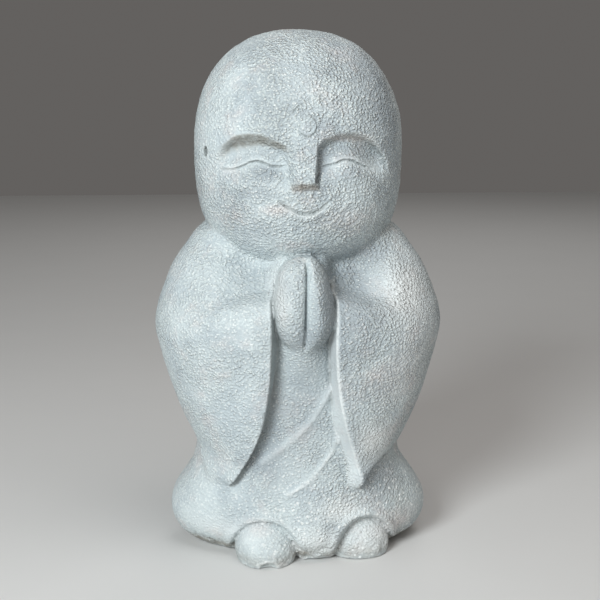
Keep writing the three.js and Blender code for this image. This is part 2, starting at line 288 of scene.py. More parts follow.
# Swell of the robe where the wrists come out under the hands
WRIST_SWELL = 19.0
WRIST_HALF = 27.0
WRIST_HEIGHTS = [200.0, 266.0]

# Soft folds on the robe, each a line of [x, height], with its half width and height
FOLDS = [
    ([[37, 212], [27.6, 199], [8, 167], [-10, 149], [-31, 131], [-46, 120]], 4.2, 3.3),
    ([[42, 152], [34, 134], [18, 111], [2, 95], [-19, 82]], 2.5, 3.2),
]

# Feet under the hem: middle x, middle y, half width, reach forward, height, turn in degrees
FEET = [(-42.5, -72.0, 36.5, 48.0, 51.0, 4.0), (67.0, -63.0, 36.0, 33.0, 51.0, 10.0)]
FOOT_POWER = 2.2
FOOT_RISE_POWER = 2.2

# A break in the right foot's front edge, and how the soles draw in towards the ground
FOOT_CHIP = [-41.0, -118.0, 0.0]
FOOT_CHIP_HALF = [11.0, 8.0, 9.0]
FOOT_CHIP_EDGE = 0.8
FEET_JOIN = 1.4
SOLE_RISE = 16.0
SOLE_DRAW = 0.1

# Arches in the hem over the feet: middle x, half width and height
ARCHES = [(-43.5, 39.5, 49.5), (71.5, 35.0, 51.0)]
ARCH_POWER = 2.2
ARCH_BACK = -56.0
ARCH_LIP = 5.0
ARCH_LIP_OUT = 4.0
ARCH_LIP_HALF = 5.5
ARCH_LIP_FRONT = [-40.0, -62.0]
ARCH_TAPER = 0.75
ARCH_EDGE = 2.5

# Soft places in front, each its middle x and height, half width and height, and how strong.
# Tints above zero are pinkish, partly real pink patches and partly painted light; those below it blue-grey,
# partly real slate and mostly painted shade.
HEAD_TINTS_AND_LIGHT = [
    (-33.0, 408.0, 17.0, 7.0, 0.95), (-58.0, 396.0, 26.0, 10.0, 0.35), (32.0, 530.0, 26.0, 22.0, 0.45),
    (40.0, 395.0, 30.0, 14.0, 0.4), (-72.0, 447.0, 16.0, 7.0, 0.2), (70.0, 548.0, 40.0, 26.0, -0.5),
    (-22.0, 520.0, 16.0, 30.0, -0.3), (-39.0, 446.5, 13.0, 6.5, -1.3), (-60.0, 425.0, 40.0, 8.0, -0.3),
    (-50.0, 469.0, 34.0, 9.0, -0.4), (48.0, 469.0, 32.0, 11.0, -0.6), (1.0, 496.0, 8.0, 8.0, 0.3),
    (8.0, 535.0, 70.0, 42.0, -0.25), (92.0, 505.0, 28.0, 60.0, -0.75), (48.0, 483.0, 34.0, 5.0, 0.9),
    (1.0, 432.0, 14.0, 4.0, 0.7), (20.0, 455.0, 10.0, 22.0, -1.0), (-50.0, 425.0, 20.0, 40.0, -0.35),
    (-50.0, 388.0, 22.0, 12.0, -0.5),
]
ARM_TINTS_AND_LIGHT = [
    (-66.0, 262.0, 12.0, 8.0, 0.8), (88.0, 215.0, 40.0, 40.0, 0.5), (120.0, 270.0, 40.0, 60.0, 0.3),
    (2.0, 274.0, 30.0, 16.0, -0.7), (-52.0, 325.0, 34.0, 18.0, -0.5), (52.0, 322.0, 28.0, 20.0, -1.0),
    (86.0, 290.0, 24.0, 14.0, -0.4), (26.0, 308.0, 13.0, 34.0, -0.9), (32.0, 245.0, 10.0, 28.0, -0.6),
    (66.0, 350.0, 24.0, 12.0, -0.4), (-72.0, 260.0, 28.0, 16.0, -0.45), (60.0, 252.0, 40.0, 18.0, -0.35),
    (58.0, 286.0, 34.0, 30.0, -0.5), (86.0, 356.0, 26.0, 14.0, -0.8), (30.0, 215.0, 80.0, 100.0, -0.35),
]
ROBE_TINTS_AND_LIGHT = [
    (108.0, 34.0, 36.0, 18.0, 0.7), (0.0, 190.0, 30.0, 60.0, -0.5), (-36.0, 160.0, 12.0, 55.0, -0.6),
    (-53.0, 123.0, 14.0, 16.0, -0.85), (75.0, 100.0, 18.0, 10.0, -0.7), (-34.0, 142.0, 12.0, 20.0, -0.5),
    (52.0, 158.0, 14.0, 25.0, -0.45), (94.0, 90.0, 28.0, 22.0, -0.9), (-34.0, 108.0, 26.0, 24.0, -0.4),
]
TINTS_AND_PAINTED_LIGHT = HEAD_TINTS_AND_LIGHT + ARM_TINTS_AND_LIGHT + ROBE_TINTS_AND_LIGHT

# Places painted paler as painted light, brown stained places, and places given less painted shade than their
# closeness would give them
LIT_PLACES = [
    (114.0, 314.0, 26.0, 30.0, 1.0), (-29.0, 312.0, 10.0, 32.0, 0.8), (80.0, 142.0, 22.0, 26.0, 0.9),
    (42.0, 62.0, 26.0, 16.0, 0.8), (18.0, 22.0, 30.0, 22.0, 0.9), (-85.0, 36.0, 40.0, 12.0, 0.5),
]
STAINS = [(-2.0, 9.0, 9.0, 3.5, 0.8), (114.0, 76.0, 28.0, 36.0, 0.3)]
LESS_SHADE_PLACES = [(0.0, 352.0, 50.0, 18.0, 0.5), (0.0, 246.0, 30.0, 14.0, 0.5)]

# Grid of the carving: its margin and its steps along x, y and z
MARGIN = 4.0
GRID_STEP = [3.3, 4.2, 3.3]
PINCH_ROUNDS = 4
PINCH_FILL = -0.3
SETTLING_ROUNDS = 4
LONGEST_MOVE = 1.2
LEAST_STEEPNESS = 0.2
SLOPE_STEP = 0.25
GROUND_BAND = 1.0

# Where the mesh is made twice as fine: the face, the hands, the hem's arches and the sleeves' edges
FACE_BOX = [[-98.0, 98.0], [-150.0, -52.0], [397.0, 508.5]]
CRACK_BOX = [[-17.0, 23.0], [-150.0, -52.0], [505.0, 536.0]]
HANDS_BOX = [[-46.0, 46.0], [-150.0, -84.0], [246.0, 358.0]]
FEET_BOX = [[-96.0, 112.0], [-150.0, -52.0], [1.0, 60.0]]
PIT_BOX = [[-118.0, -92.0], [-72.0, -38.0], [452.0, 478.0]]
SLEEVE_EDGE_BAND = 4.5
SLEEVE_EDGE_FRONT = -84.0
LINE_BAND = 4.5
CRACK_BAND = 3.0
LINE_FRONT = -55.0
HAND_LINE = [250.0, 357.0]


# Shared shapes of the carving

def smooth_step(low, high, value):
    """Zero at low, one at high and an easy curve between them."""
    t = np.clip((value - low) / (high - low), 0.0, 1.0)
    return t * t * (3.0 - 2.0 * t)


def bell(t):
    """One at the middle, falling off evenly to both sides."""
    return np.exp(-t * t)


def soft_union(first, second, reach):
    """Two forms as one, with a fillet of that reach between them."""
    share = np.clip(0.5 + 0.5 * (second - first) / reach, 0.0, 1.0)
    return second + (first - second) * share - reach * share * (1.0 - share)


def soft_cut(form, cutter, reach):
    """A form with the cutter taken away, its new edge eased by that reach."""
    return -soft_union(-form, cutter, reach)


def graph(rows, steps=500):
    """A smooth curve through rows of (place, value, ...); called, it gives one array for each value."""
    table = np.array(rows, float)
    places = table[:, 0]
    values = table[:, 1:]
    slopes = np.gradient(values, places, axis=0)
    fine = np.linspace(places[0], places[-1], steps)
    left = np.clip(np.searchsorted(places, fine, side="right") - 1, 0, len(places) - 2)
    span = (places[left + 1] - places[left])[:, None]
    t = (fine - places[left])[:, None] / span
    dense = (1.0 + 2.0 * t) * (1.0 - t) ** 2 * values[left]
    dense += t * (1.0 - t) ** 2 * span * slopes[left]
    dense += t * t * (3.0 - 2.0 * t) * values[left + 1]
    dense += t * t * (t - 1.0) * span * slopes[left + 1]

    def curve(place):
        return [np.interp(place, fine, column) for column in dense.T]

    return curve


def oval_ratio(x, y, half_width, front, back, power):
    """How far out a point is in an oval section: one on its outline."""
    depth = np.where(y < 0.0, front, back)
    return (np.abs(x / half_width) ** power + np.abs(y / depth) ** power) ** (1.0 / power)


def oval_gap(x, y, half_width, front, back, power):
    """Distance from an upright oval column, along the line to its axis."""
    x = x + OFF_AXIS
    ratio = np.maximum(oval_ratio(x, y, half_width, front, back, power), LEAST_RATIO)
    return np.hypot(x, y) * (1.0 - 1.0 / ratio)


def oval_front(x, half_width, front, power):
    """How far forward an oval section's outline is at x."""
    across = np.minimum(np.abs(x) / half_width, 0.999)
    return front * (1.0 - across ** power) ** (1.0 / power)


def line_gap(x, z, points):
    """Distance in the front view from a line through the points."""
    gap = np.full(np.broadcast(x, z).shape, 1e3)
    for (x0, z0), (x1, z1) in zip(points[:-1], points[1:]):
        run = (x1 - x0) ** 2 + (z1 - z0) ** 2
        share = np.clip(((x - x0) * (x1 - x0) + (z - z0) * (z1 - z0)) / run, 0.0, 1.0)
        gap = np.minimum(gap, np.hypot(x - x0 - share * (x1 - x0), z - z0 - share * (z1 - z0)))
    return gap


def ball_ratio(x, y, z, middle, half):
    """How far out a point is in an oval ball: one on its skin."""
    away = [(place - centre) / reach for place, centre, reach in zip((x, y, z), middle, half)]
    return np.sqrt(away[0] ** 2 + away[1] ** 2 + away[2] ** 2)


def ball_gap(x, y, z, middle, half):
    """Distance from an oval ball, true along its shortest axis."""
    return (ball_ratio(x, y, z, middle, half) - 1.0) * min(half)


def patches(x, z, rows):
    """Soft oval places of the front view, one array for each row of middle, half sizes and strength."""
    places = []
    for middle_x, middle_z, half_x, half_z, share in rows:
        places.append(share * bell((x - middle_x) / half_x) * bell((z - middle_z) / half_z))
    return places


BROW_CURVES = [graph(RIGHT_BROW), graph(LEFT_BROW)]
EYE_CURVES = [graph(RIGHT_EYE), graph(LEFT_EYE)]
MOUTH_CURVE = graph(MOUTH)
MANTLE_CURVE = graph(MANTLE)
ROBE_CURVE = graph(ROBE)
RIGHT_SLEEVE_CURVE = graph(RIGHT_SLEEVE)
LEFT_SLEEVE_CURVE = graph(LEFT_SLEEVE)
SLEEVE_BOTTOM_CURVE = graph(SLEEVE_BOTTOM)
RIGHT_HAND_CURVE = graph(RIGHT_HAND)
LEFT_HAND_CURVE = graph(LEFT_HAND)
FOLD_STEPS = 12


def smooth_line(points):
    """A line of [x, height] rounded off at its corners."""
    curve = graph([[i, *point] for i, point in enumerate(points)])
    return np.stack(curve(np.linspace(0.0, len(points) - 1.0, FOLD_STEPS)), axis=1)


FOLD_LINES = [(smooth_line(points), half, rise) for points, half, rise in FOLDS]
CRACK_LINES = [smooth_line(points) for points in CRACKS]


# Face

def brow_drop(x, z):
    """How far below the brow's edge a point of the face is."""
    out = np.abs(x)
    right = BROW_CURVES[0](out)[0]
    left = BROW_CURVES[1](out)[0]
    return np.where(x < 0.0, right, left) - z


def nose_half(z):
    """Half width of the nose at a height."""
    bridge = np.interp(z, [NOSE_TIP, NOSE_ROOT], [NOSE_TIP_HALF, NOSE_ROOT_HALF])
    foot = np.interp(z, [NOSE_FOOT, NOSE_TIP], [NOSE_FOOT_HALF, NOSE_FOOT_HALF - NOSE_FOOT_TAPER])
    return np.where(z < NOSE_TIP, foot, bridge)


def sockets(x, z):
    """Depth of the eye sockets, deepest along the nose and under the brows."""
    drop = brow_drop(x, z)
    band = np.where(x < 0.0, RIGHT_BROW_BAND, LEFT_BROW_BAND)
    wall = np.where(x < 0.0, RIGHT_NOSE_WALL, LEFT_NOSE_WALL)
    fall = np.where(x < 0.0, RIGHT_SOCKET_FALL, LEFT_SOCKET_FALL)
    under = smooth_step(0.0, band, drop) * (1.0 - smooth_step(SOCKET_FLAT, fall, drop))
    beside = smooth_step(0.0, wall, np.abs(x) - nose_half(z))
    outward = 1.0 - smooth_step(SOCKET_OUTER[0], SOCKET_OUTER[1], np.abs(x))
    outward = outward * (1.0 - smooth_step(*SOCKET_CORNER_OUT, np.abs(x)) * smooth_step(*SOCKET_CORNER, z))
    depth = np.where(x < 0.0, RIGHT_SOCKET_DEPTH, LEFT_SOCKET_DEPTH)
    return depth * under * beside * outward


def eye(x, z, side, curve, ends):
    """Swell of a closed lid above its line, less the line's own groove."""
    out = x * side
    rise = z - curve(out)[0]
    inner, outer = ends
    run = smooth_step(inner - EYE_FADE, inner + EYE_FADE, out)
    run = run * smooth_step(outer + EYE_TAIL[0], outer + EYE_TAIL[1], out)
    lid = bell((out - LID_MIDDLE) / LID_SPREAD) * smooth_step(*LID_EDGE, rise) * smooth_step(*LID_TOP, rise)
    ball = bell(np.hypot(out - LID_MIDDLE, rise + BALL_DROP) / BALL_RADIUS)
    line = run * bell(rise / EYE_LINE_HALF)
    return LID_SWELL * lid + BALL_SWELL * ball - EYE_LINE_DEPTH * line


def nose(x, z):
    """How far the nose stands out: a wedge that ends in a short slope under its tip."""
    bridge = NOSE_PROUD * np.clip((NOSE_ROOT - z) / (NOSE_ROOT - NOSE_TIP), 0.0, 1.0)
    under = NOSE_PROUD * np.clip((z - NOSE_FOOT) / (NOSE_TIP - NOSE_FOOT), 0.0, 1.0)
    proud = np.where(z < NOSE_TIP, under, bridge)
    half = nose_half(z)
    rounding = 1.0 - NOSE_ROUNDING * np.minimum(np.abs(x) / half, 1.0) ** 2
    edge = np.where((x < 0.0) & (z > NOSE_TIP), RIGHT_NOSE_EDGE, LEFT_NOSE_EDGE)
    return proud * rounding * (1.0 - smooth_step(-edge, edge, np.abs(x) - half))


def mouth_rise(x, z):
    """Height above the mouth's line."""
    return z - MOUTH_CURVE(x)[0]


def mouth(x, z):
    """The smiling line of the mouth, with a low swell under it for the lip."""
    rise = mouth_rise(x, z)
    run = smooth_step(MOUTH_ENDS[0] - MOUTH_FADE, MOUTH_ENDS[0] + MOUTH_FADE, x)
    run = run * smooth_step(MOUTH_ENDS[1] + MOUTH_FADE, MOUTH_ENDS[1] - MOUTH_FADE, x)
    lip = bell(x / LIP_HALF[0]) * bell((rise + LIP_DROP) / LIP_HALF[1])
    corner = bell((np.abs(x) - CORNER_OUT) / CORNER_HALF) * bell((rise - CORNER_RISE) / CORNER_HALF)
    return LIP_SWELL * lip + CORNER_SWELL * corner - MOUTH_DEPTH * run * bell(rise / MOUTH_HALF)


def urna_away(x, z):
    """Distance from the middle of the forehead's boss in the front view."""
    return np.hypot(x - URNA_X, z - URNA_Z)


def urna_strokes(x, z):
    """One in the upright strokes inside the boss."""
    strokes = 0.5 + 0.5 * np.cos(2.0 * math.pi * (x - URNA_X) / URNA_STROKE)
    return strokes * smooth_step(URNA_RADIUS * URNA_INNER[0], URNA_RADIUS * URNA_INNER[1], urna_away(x, z))


def urna(x, z):
    """The round boss between the brows, with a ring and a few upright strokes cut into it."""
    away = urna_away(x, z)
    disc = smooth_step(URNA_RADIUS + URNA_EDGE[0], URNA_RADIUS + URNA_EDGE[1], away)
    ring = bell((away - URNA_RADIUS * URNA_RING) / URNA_RING_HALF)
    return URNA_PROUD * disc - URNA_RING_DEPTH * ring - URNA_STROKE_DEPTH * urna_strokes(x, z)


def crack_share(x, z):
    """One in the short cracks of the forehead."""
    return np.max([bell(line_gap(x, z, line) / CRACK_HALF) for line in CRACK_LINES], axis=0)


def face(x, z):
    """How far the face stands out from the plain head at a point of the front view."""
    right = eye(x, z, -1.0, EYE_CURVES[0], RIGHT_EYE_ENDS) * (x < 0.0)
    left = eye(x, z, 1.0, EYE_CURVES[1], LEFT_EYE_ENDS) * (x >= 0.0)
    raised = nose(x, z) + right + left + mouth(x, z) + urna(x, z) + sum(patches(x, z, SWELLS))
    return raised - sockets(x, z) - CRACK_DEPTH * crack_share(x, z)


def head_field(x, y, z):
    """The head with its face in front and the pit at its temple."""
    above = z > HEAD_MIDDLE
    reach = np.where(above, HEIGHT - HEAD_MIDDLE, HEAD_MIDDLE - HEAD_CHIN)
    power = np.where(above, CROWN_POWER, JAW_POWER)
    x = x - HEAD_LEAN * np.maximum(z - HEAD_MIDDLE, 0.0)
    across = oval_ratio(x + OFF_AXIS, y, HEAD_HALF_WIDTH, HEAD_FRONT, HEAD_BACK, HEAD_SECTION_POWER)
    level = np.abs(z - HEAD_MIDDLE) / reach
    ratio = np.maximum((across ** power + level ** power) ** (1.0 / power), LEAST_RATIO)
    away = np.sqrt((x + OFF_AXIS) ** 2 + y * y + (z - HEAD_MIDDLE) ** 2)
    plain = away * (1.0 - 1.0 / ratio)
    if np.ndim(z) > 0 or FACE_LOW < z < FACE_HIGH:
        plain = plain - face(x, z) * smooth_step(*FACE_AHEAD, y)
    return soft_cut(plain, ball_gap(x, y, z, TEMPLE_PIT, TEMPLE_PIT_HALF), TEMPLE_PIT_EDGE)


# Mantle, sleeves and hands

def mantle_field(x, y, z):
    """The mantle over both arms, cut off below and hollowed beside the hands."""
    low = np.clip((MANTLE_RISE_BELOW - z) / (MANTLE_RISE_BELOW - MANTLE_BOTTOM), 0.0, 1.0)
    level = z - MANTLE_RISE * low * (1.0 + y / MANTLE_RISE_DEPTH)
    half_width, front, back = MANTLE_CURVE(level)
    form = oval_gap(x, y, half_width, front, back, MANTLE_POWER)
    ahead = smooth_step(*MANTLE_AHEAD, y)
    bottom = SLEEVE_BOTTOM_BACK + (SLEEVE_BOTTOM_CURVE(x)[0] - SLEEVE_BOTTOM_BACK) * ahead
    form = soft_cut(form, z - bottom, MANTLE_EDGE)
    form = np.maximum(form, z - MANTLE[-1][0])
    out = np.abs(x)
    shelf = HOLLOW_SHELF - HOLLOW_SHELF_SLOPE * (out - HOLLOW_IN[1])
    hollow = smooth_step(shelf + HOLLOW_SHELF_FADE[0], shelf + HOLLOW_SHELF_FADE[1], z)
    hollow = hollow * (1.0 - smooth_step(HOLLOW_TOP[0], HOLLOW_TOP[1], z))
    hollow = hollow * smooth_step(HOLLOW_IN[0], HOLLOW_IN[1], out)
    hollow = hollow * (1.0 - smooth_step(HOLLOW_OUT[0], HOLLOW_OUT[1], out))
    depth = np.where(x < 0.0, HOLLOW_DEPTH[0], HOLLOW_DEPTH[1])
    return form + depth * hollow * smooth_step(*HOLLOW_AHEAD, y)


def panel_field(x, y, z):
    """The open front between the sleeves, in front of the robe."""
    right_edge, right_foot = RIGHT_SLEEVE_CURVE(z)
    left_edge, left_foot = LEFT_SLEEVE_CURVE(z)
    half_width, front, _ = MANTLE_CURVE(z)
    right_in = (y + oval_front(right_edge, half_width, front, MANTLE_POWER)) / SLEEVE_WALL
    left_in = (y + oval_front(left_edge, half_width, front, MANTLE_POWER)) / SLEEVE_WALL
    low = right_edge + (right_foot - right_edge) * np.clip(right_in, 0.0, 1.0)
    high = left_edge + (left_foot - left_edge) * np.clip(left_in, 0.0, 1.0)
    gap = np.maximum(low - x, x - high)
    gap = np.maximum(gap, z - PANEL_TOP)
    return np.maximum(gap, y - PANEL_BACK)


def seam_at(z):
    """Where the seam between the palms is at a height."""
    return SEAM_TOP + SEAM_LEAN * (z - HANDS_TOP)


def hands_field(x, y, z):
    """Two hands pressed together, the left one's edge bevelled along the seam."""
    seam = seam_at(z)
    right_out, right_front = RIGHT_HAND_CURVE(z)
    half = (right_out + HAND_OVERLAP) / 2.0
    right = oval_gap(x + right_out - half, y - HAND_AXIS_Y, half, right_front, HAND_BACK, RIGHT_HAND_POWER)
    right = soft_cut(right, seam - PALM_GAP - x, PALM_EDGE)
    left_out, left_front = LEFT_HAND_CURVE(z)
    half = (left_out + HAND_OVERLAP) / 2.0
    left = oval_gap(x - left_out + half, y - HAND_AXIS_Y, half, left_front, HAND_BACK, LEFT_HAND_POWER)
    bevel = BEVEL_SLOPE[0] * (x - seam - SEAM_BEVEL)
    bevel = bevel + BEVEL_SLOPE[1] * (y - HAND_AXIS_Y + BEVEL_REACH * left_front)
    left = soft_cut(left, bevel, BEVEL_EDGE)
    form = soft_union(right, left, PALM_JOIN)
    form = form + SEAM_DEPTH * bell((x - seam) / SEAM_HALF) * smooth_step(*HAND_FRONT, y)
    form = np.maximum(form, HANDS_BOTTOM - z)
    return np.maximum(form, z - HANDS_TOP)


# Robe and feet

def foot_field(x, y, z, foot):
    """One foot: a turned dome whose sole draws in at the ground."""
    middle_x, middle_y, half, reach, height, turn = foot
    cosine = math.cos(math.radians(turn))
    sine = math.sin(math.radians(turn))
    across = (x - middle_x) * cosine + (y - middle_y) * sine + OFF_AXIS
    along = (y - middle_y) * cosine - (x - middle_x) * sine
    level = oval_ratio(across, along, half, reach, reach, FOOT_POWER)
    level = level * (1.0 + SOLE_DRAW * np.clip(1.0 - z / SOLE_RISE, 0.0, 1.0) ** 2)
    ratio = (level ** FOOT_RISE_POWER + np.abs(z / height) ** FOOT_RISE_POWER) ** (1.0 / FOOT_RISE_POWER)
    away = np.sqrt(across * across + along * along + z * z)
    return away * (1.0 - 1.0 / np.maximum(ratio, LEAST_RATIO))


def feet_field(x, y, z):
    return np.minimum(foot_field(x, y, z, FEET[0]), foot_field(x, y, z, FEET[1]))


def arch_field(x, z, arch):
    """Distance in the front view from an arch's opening."""
    middle, half, height = arch
    return oval_gap(x - middle, z, half, height, height, ARCH_POWER)


def robe_field(x, y, z):
    """The robe down to the ground, with its tongue between the feet, the wrists' swell and the folds."""
    tongue = TONGUE_PROUD * bell((x - TONGUE_X) / TONGUE_SPREAD_X) * bell((z - TONGUE_Z) / TONGUE_SPREAD_Z)
    tongue = tongue + WRIST_SWELL * bell(x / WRIST_HALF) * smooth_step(*WRIST_HEIGHTS, z)
    half_width, front, back = ROBE_CURVE(z)
    form = oval_gap(x, y + tongue * smooth_step(*TONGUE_AHEAD, y), half_width, front, back, ROBE_POWER)
    form = np.maximum(form, z - ROBE[-1][0])
    ridges = 0.0
    for points, half, rise in FOLD_LINES:
        ridges = ridges + rise * bell(line_gap(x, z, points) / half)
    return form - ridges * smooth_step(*FOLD_AHEAD, y)


def skirt_field(x, y, z):
    """The robe with an arch over each foot, its lip a little raised, and the chipped feet themselves."""
    form = robe_field(x, y, z)
    for arch in ARCHES:
        opening = arch_field(x, z, arch)
        lip = bell((opening - ARCH_LIP_OUT) / ARCH_LIP_HALF) * smooth_step(*ARCH_LIP_FRONT, y)
        form = form - ARCH_LIP * lip
        depth = np.maximum(-form, 0.0)
        form = soft_cut(form, np.maximum(opening + ARCH_TAPER * depth, y - ARCH_BACK), ARCH_EDGE)
    form = soft_union(form, feet_field(x, y, z), FEET_JOIN)
    return soft_cut(form, ball_gap(x, y, z, FOOT_CHIP, FOOT_CHIP_HALF), FOOT_CHIP_EDGE)


def statue_field(x, y, z):
    """Signed distance from the statue's skin, nearly true close to it and negative in the stone."""
    panel = panel_field(x, y, z)
    mantle = soft_cut(mantle_field(x, y, z), panel, SLEEVE_EDGE)
    outer = smooth_step(*SLEEVE_JOIN_OUT, panel)
    soft = SLEEVE_JOIN + outer * (LEFT_SLEEVE_JOIN + RIGHT_SLEEVE_JOIN * smooth_step(*SLEEVE_JOIN_SIDE, x))
    form = soft_union(mantle, skirt_field(x, y, z), soft)
    blend = HAND_JOIN + HAND_JOIN_BELOW * smooth_step(HAND_MIDDLE, HANDS_BOTTOM, z)
    form = soft_union(form, hands_field(x, y, z), blend)
    form = soft_union(form, head_field(x, y, z), NECK_CREASE)
    return np.maximum(form, -z)


# From the carving to a mesh

def carving_grid():
    """Even grid places along each axis, past the statue on every side."""
    axes = []
    for low, high, step in zip(STONE_LOW, STONE_HIGH, GRID_STEP):
        start = low / MM - MARGIN
        count = math.ceil((high / MM + MARGIN - start) / step) + 1
        axes.append(start + step * np.arange(count))
    return axes


def net_points(axes, values, cells):
    """One point in each cell, at the mean of the places where the skin crosses the cell's edges."""
    total = np.zeros((len(cells), 3))
    hits = np.zeros(len(cells))
    for axis in range(3):
        others = [(axis + 1) % 3, (axis + 2) % 3]
        for corner in range(4):
            start = cells.copy()
            start[:, others[0]] += corner % 2
            start[:, others[1]] += corner // 2
            end = start.copy()
            end[:, axis] += 1
            first = values[tuple(start.T)]
            last = values[tuple(end.T)]
            crossed = (first < 0.0) != (last < 0.0)
            share = np.where(crossed, first / np.where(crossed, first - last, 1.0), 0.0)
            for k in range(3):
                place = axes[k][start[:, k]]
                place = place + share * (axes[k][end[:, k]] - place)
                total[:, k] += np.where(crossed, place, 0.0)
            hits += crossed
    return total / hits[:, None]


def net_faces(inside, numbers):
    """One quad round each grid edge that the skin crosses, facing out of the stone."""
    faces = []
    for axis in range(3):
        u = (axis + 1) % 3
        v = (axis + 2) % 3
        first = np.moveaxis(inside, axis, 0)[:-1]
        last = np.moveaxis(inside, axis, 0)[1:]
        edges = np.argwhere(first != last)
        place = np.empty_like(edges)
        order = [axis] + [k for k in range(3) if k != axis]
        for column, k in enumerate(order):
            place[:, k] = edges[:, column]
        leaving = inside[tuple(place.T)]
        quad = []
        for du, dv in ((-1, -1), (0, -1), (0, 0), (-1, 0)):
            cell = place.copy()
            cell[:, u] += du
            cell[:, v] += dv
            quad.append(numbers[tuple(cell.T)])
        quad = np.stack(quad, axis=1)
        quad[~leaving] = quad[~leaving][:, ::-1]
        faces.append(quad)
    return np.concatenate(faces)


def gradient_at(points):
    """Value and slope of the statue's field at each point."""
    value = statue_field(*points.T)
    slope = np.empty_like(points)
    for k in range(3):
        moved = points.copy()
        moved[:, k] += SLOPE_STEP
        slope[:, k] = (statue_field(*moved.T) - value) / SLOPE_STEP
    return value, slope


def close_pinches(values):
    """Fills grid squares whose corners alternate in and out, so the skin never touches itself."""
    for axis, other in ((0, 1), (0, 2), (1, 2)) * PINCH_ROUNDS:
        square = []
        for corner in range(4):
            part = [slice(None)] * 3
            part[axis] = slice(1, None) if corner & 1 else slice(None, -1)
            part[other] = slice(1, None) if corner & 2 else slice(None, -1)
            square.append(values[tuple(part)])
        inside = [corner < 0.0 for corner in square]
        pinch = (inside[0] == inside[3]) & (inside[1] == inside[2]) & (inside[0] != inside[1])
        for corner in square:
            corner[pinch & (corner >= 0.0)] = PINCH_FILL


def fill_pockets(values):
    """Fills the hollows that the open air outside does not reach."""
    open_air = values >= 0.0
    reached = open_air.copy()
    reached[1:-1, 1:-1, 1:-1] = False
    count = 0
    while count < reached.sum():
        count = reached.sum()
        for axis in range(3):
            ahead = [slice(None)] * 3
            behind = [slice(None)] * 3
            ahead[axis] = slice(1, None)
            behind[axis] = slice(None, -1)
            reached[tuple(ahead)] |= reached[tuple(behind)]
            reached[tuple(behind)] |= reached[tuple(ahead)]
            reached &= open_air
    values[open_air & ~reached] = PINCH_FILL


def carve():
    """Points and quads of the statue's skin on the plain grid, in millimetres."""
    axes = carving_grid()
    values = np.empty([len(places) for places in axes], np.float32)
    x = axes[0][:, None]
    y = axes[1][None, :]
    for k, z in enumerate(axes[2]):
        values[:, :, k] = statue_field(x, y, float(z))
    close_pinches(values)
    fill_pockets(values)
    inside = values < 0.0
    count = np.zeros([n - 1 for n in inside.shape], np.uint8)
    for corner in range(8):
        part = tuple(slice(corner >> k & 1, inside.shape[k] - 1 + (corner >> k & 1)) for k in range(3))
        count += inside[part]
    active = (count > 0) & (count < 8)
    cells = np.argwhere(active)
    numbers = np.full(active.shape, -1, np.int32)
    numbers[active] = np.arange(len(cells))
    return net_points(axes, values, cells), net_faces(inside, numbers)


def in_box(points, box):
    inside = [(points[:, k] > low) & (points[:, k] < high) for k, (low, high) in enumerate(box)]
    return np.all(inside, axis=0)


def fine_work(points):
    """Which points lie where the carving is finest."""
    boxes = (FACE_BOX, CRACK_BOX, HANDS_BOX, FEET_BOX, PIT_BOX)
    fine = np.any([in_box(points, box) for box in boxes], axis=0)
    edge = np.abs(panel_field(*points.T)) < SLEEVE_EDGE_BAND
    return fine | (edge & (points[:, 1] < SLEEVE_EDGE_FRONT))


def line_work(points):
    """Which points lie along the fine lines of the face and in the temple's pit."""
    x, y, z = points.T
    right = (np.abs(z - EYE_CURVES[0](-x)[0]) < LINE_BAND) & (x < -RIGHT_EYE[0][0]) & (x > -RIGHT_EYE[-1][0])
    left = (np.abs(z - EYE_CURVES[1](x)[0]) < LINE_BAND) & (x > LEFT_EYE[0][0]) & (x < LEFT_EYE[-1][0])
    smile = (np.abs(mouth_rise(x, z)) < LINE_BAND) & (x > MOUTH[0][0]) & (x < MOUTH[-1][0])
    boss = urna_away(x, z) < URNA_RADIUS + LINE_BAND
    beside = np.abs(x - nose_half(z)) < LINE_BAND
    beside = beside & (z > NOSE_FOOT) & (z < NOSE_ROOT)
    foot = (np.abs(z - NOSE_TIP) < 2.0 * LINE_BAND) & (np.abs(x) < NOSE_FOOT_HALF + LINE_BAND)
    seam = (np.abs(x - SEAM_TOP) < LINE_BAND) & (y < SLEEVE_EDGE_FRONT)
    seam = seam & (z > HAND_LINE[0]) & (z < HAND_LINE[1])
    split = np.min([line_gap(x, z, line) for line in CRACK_LINES], axis=0) < CRACK_BAND
    lines = (right | left | smile | boss | beside | foot | split) & (y < LINE_FRONT)
    return lines | seam | in_box(points, PIT_BOX)


def refine(mesh, fine):
    """Halves the quads whose points are all marked fine, with matched quads round them."""
    work = bmesh.new()
    work.from_mesh(mesh)
    edges = [edge for edge in work.edges if fine[edge.verts[0].index] and fine[edge.verts[1].index]]
    bmesh.ops.subdivide_edges(work, edges=edges, cuts=1, use_grid_fill=True)
    work.to_mesh(mesh)
    work.free()


def settle(points):
    """Moves points onto the carved skin, and gives their outward normals."""
    for _ in range(SETTLING_ROUNDS):
        value, slope = gradient_at(points)
        steepness = np.maximum((slope ** 2).sum(axis=1), LEAST_STEEPNESS)
        move = np.clip(value / steepness, -LONGEST_MOVE, LONGEST_MOVE)[:, None] * slope
        move[points[:, 2] < GROUND_BAND] = 0.0
        points = points - move
    points[:, 2] = np.maximum(points[:, 2], 0.0)
    _, slope = gradient_at(points)
    return points, slope / np.maximum(np.linalg.norm(slope, axis=1), 1e-6)[:, None]


# What the skin carries for its material. A pair says where a mask is zero and where it is one.

FRONT = [-40.0, -70.0]
FACE_FRONT = [-60.0, -75.0]
TINT_FRONT = [-30.0, -60.0]
LIT_PLACES_FRONT = [-10.0, -40.0]
HEAD_START = [372.0, 392.0]
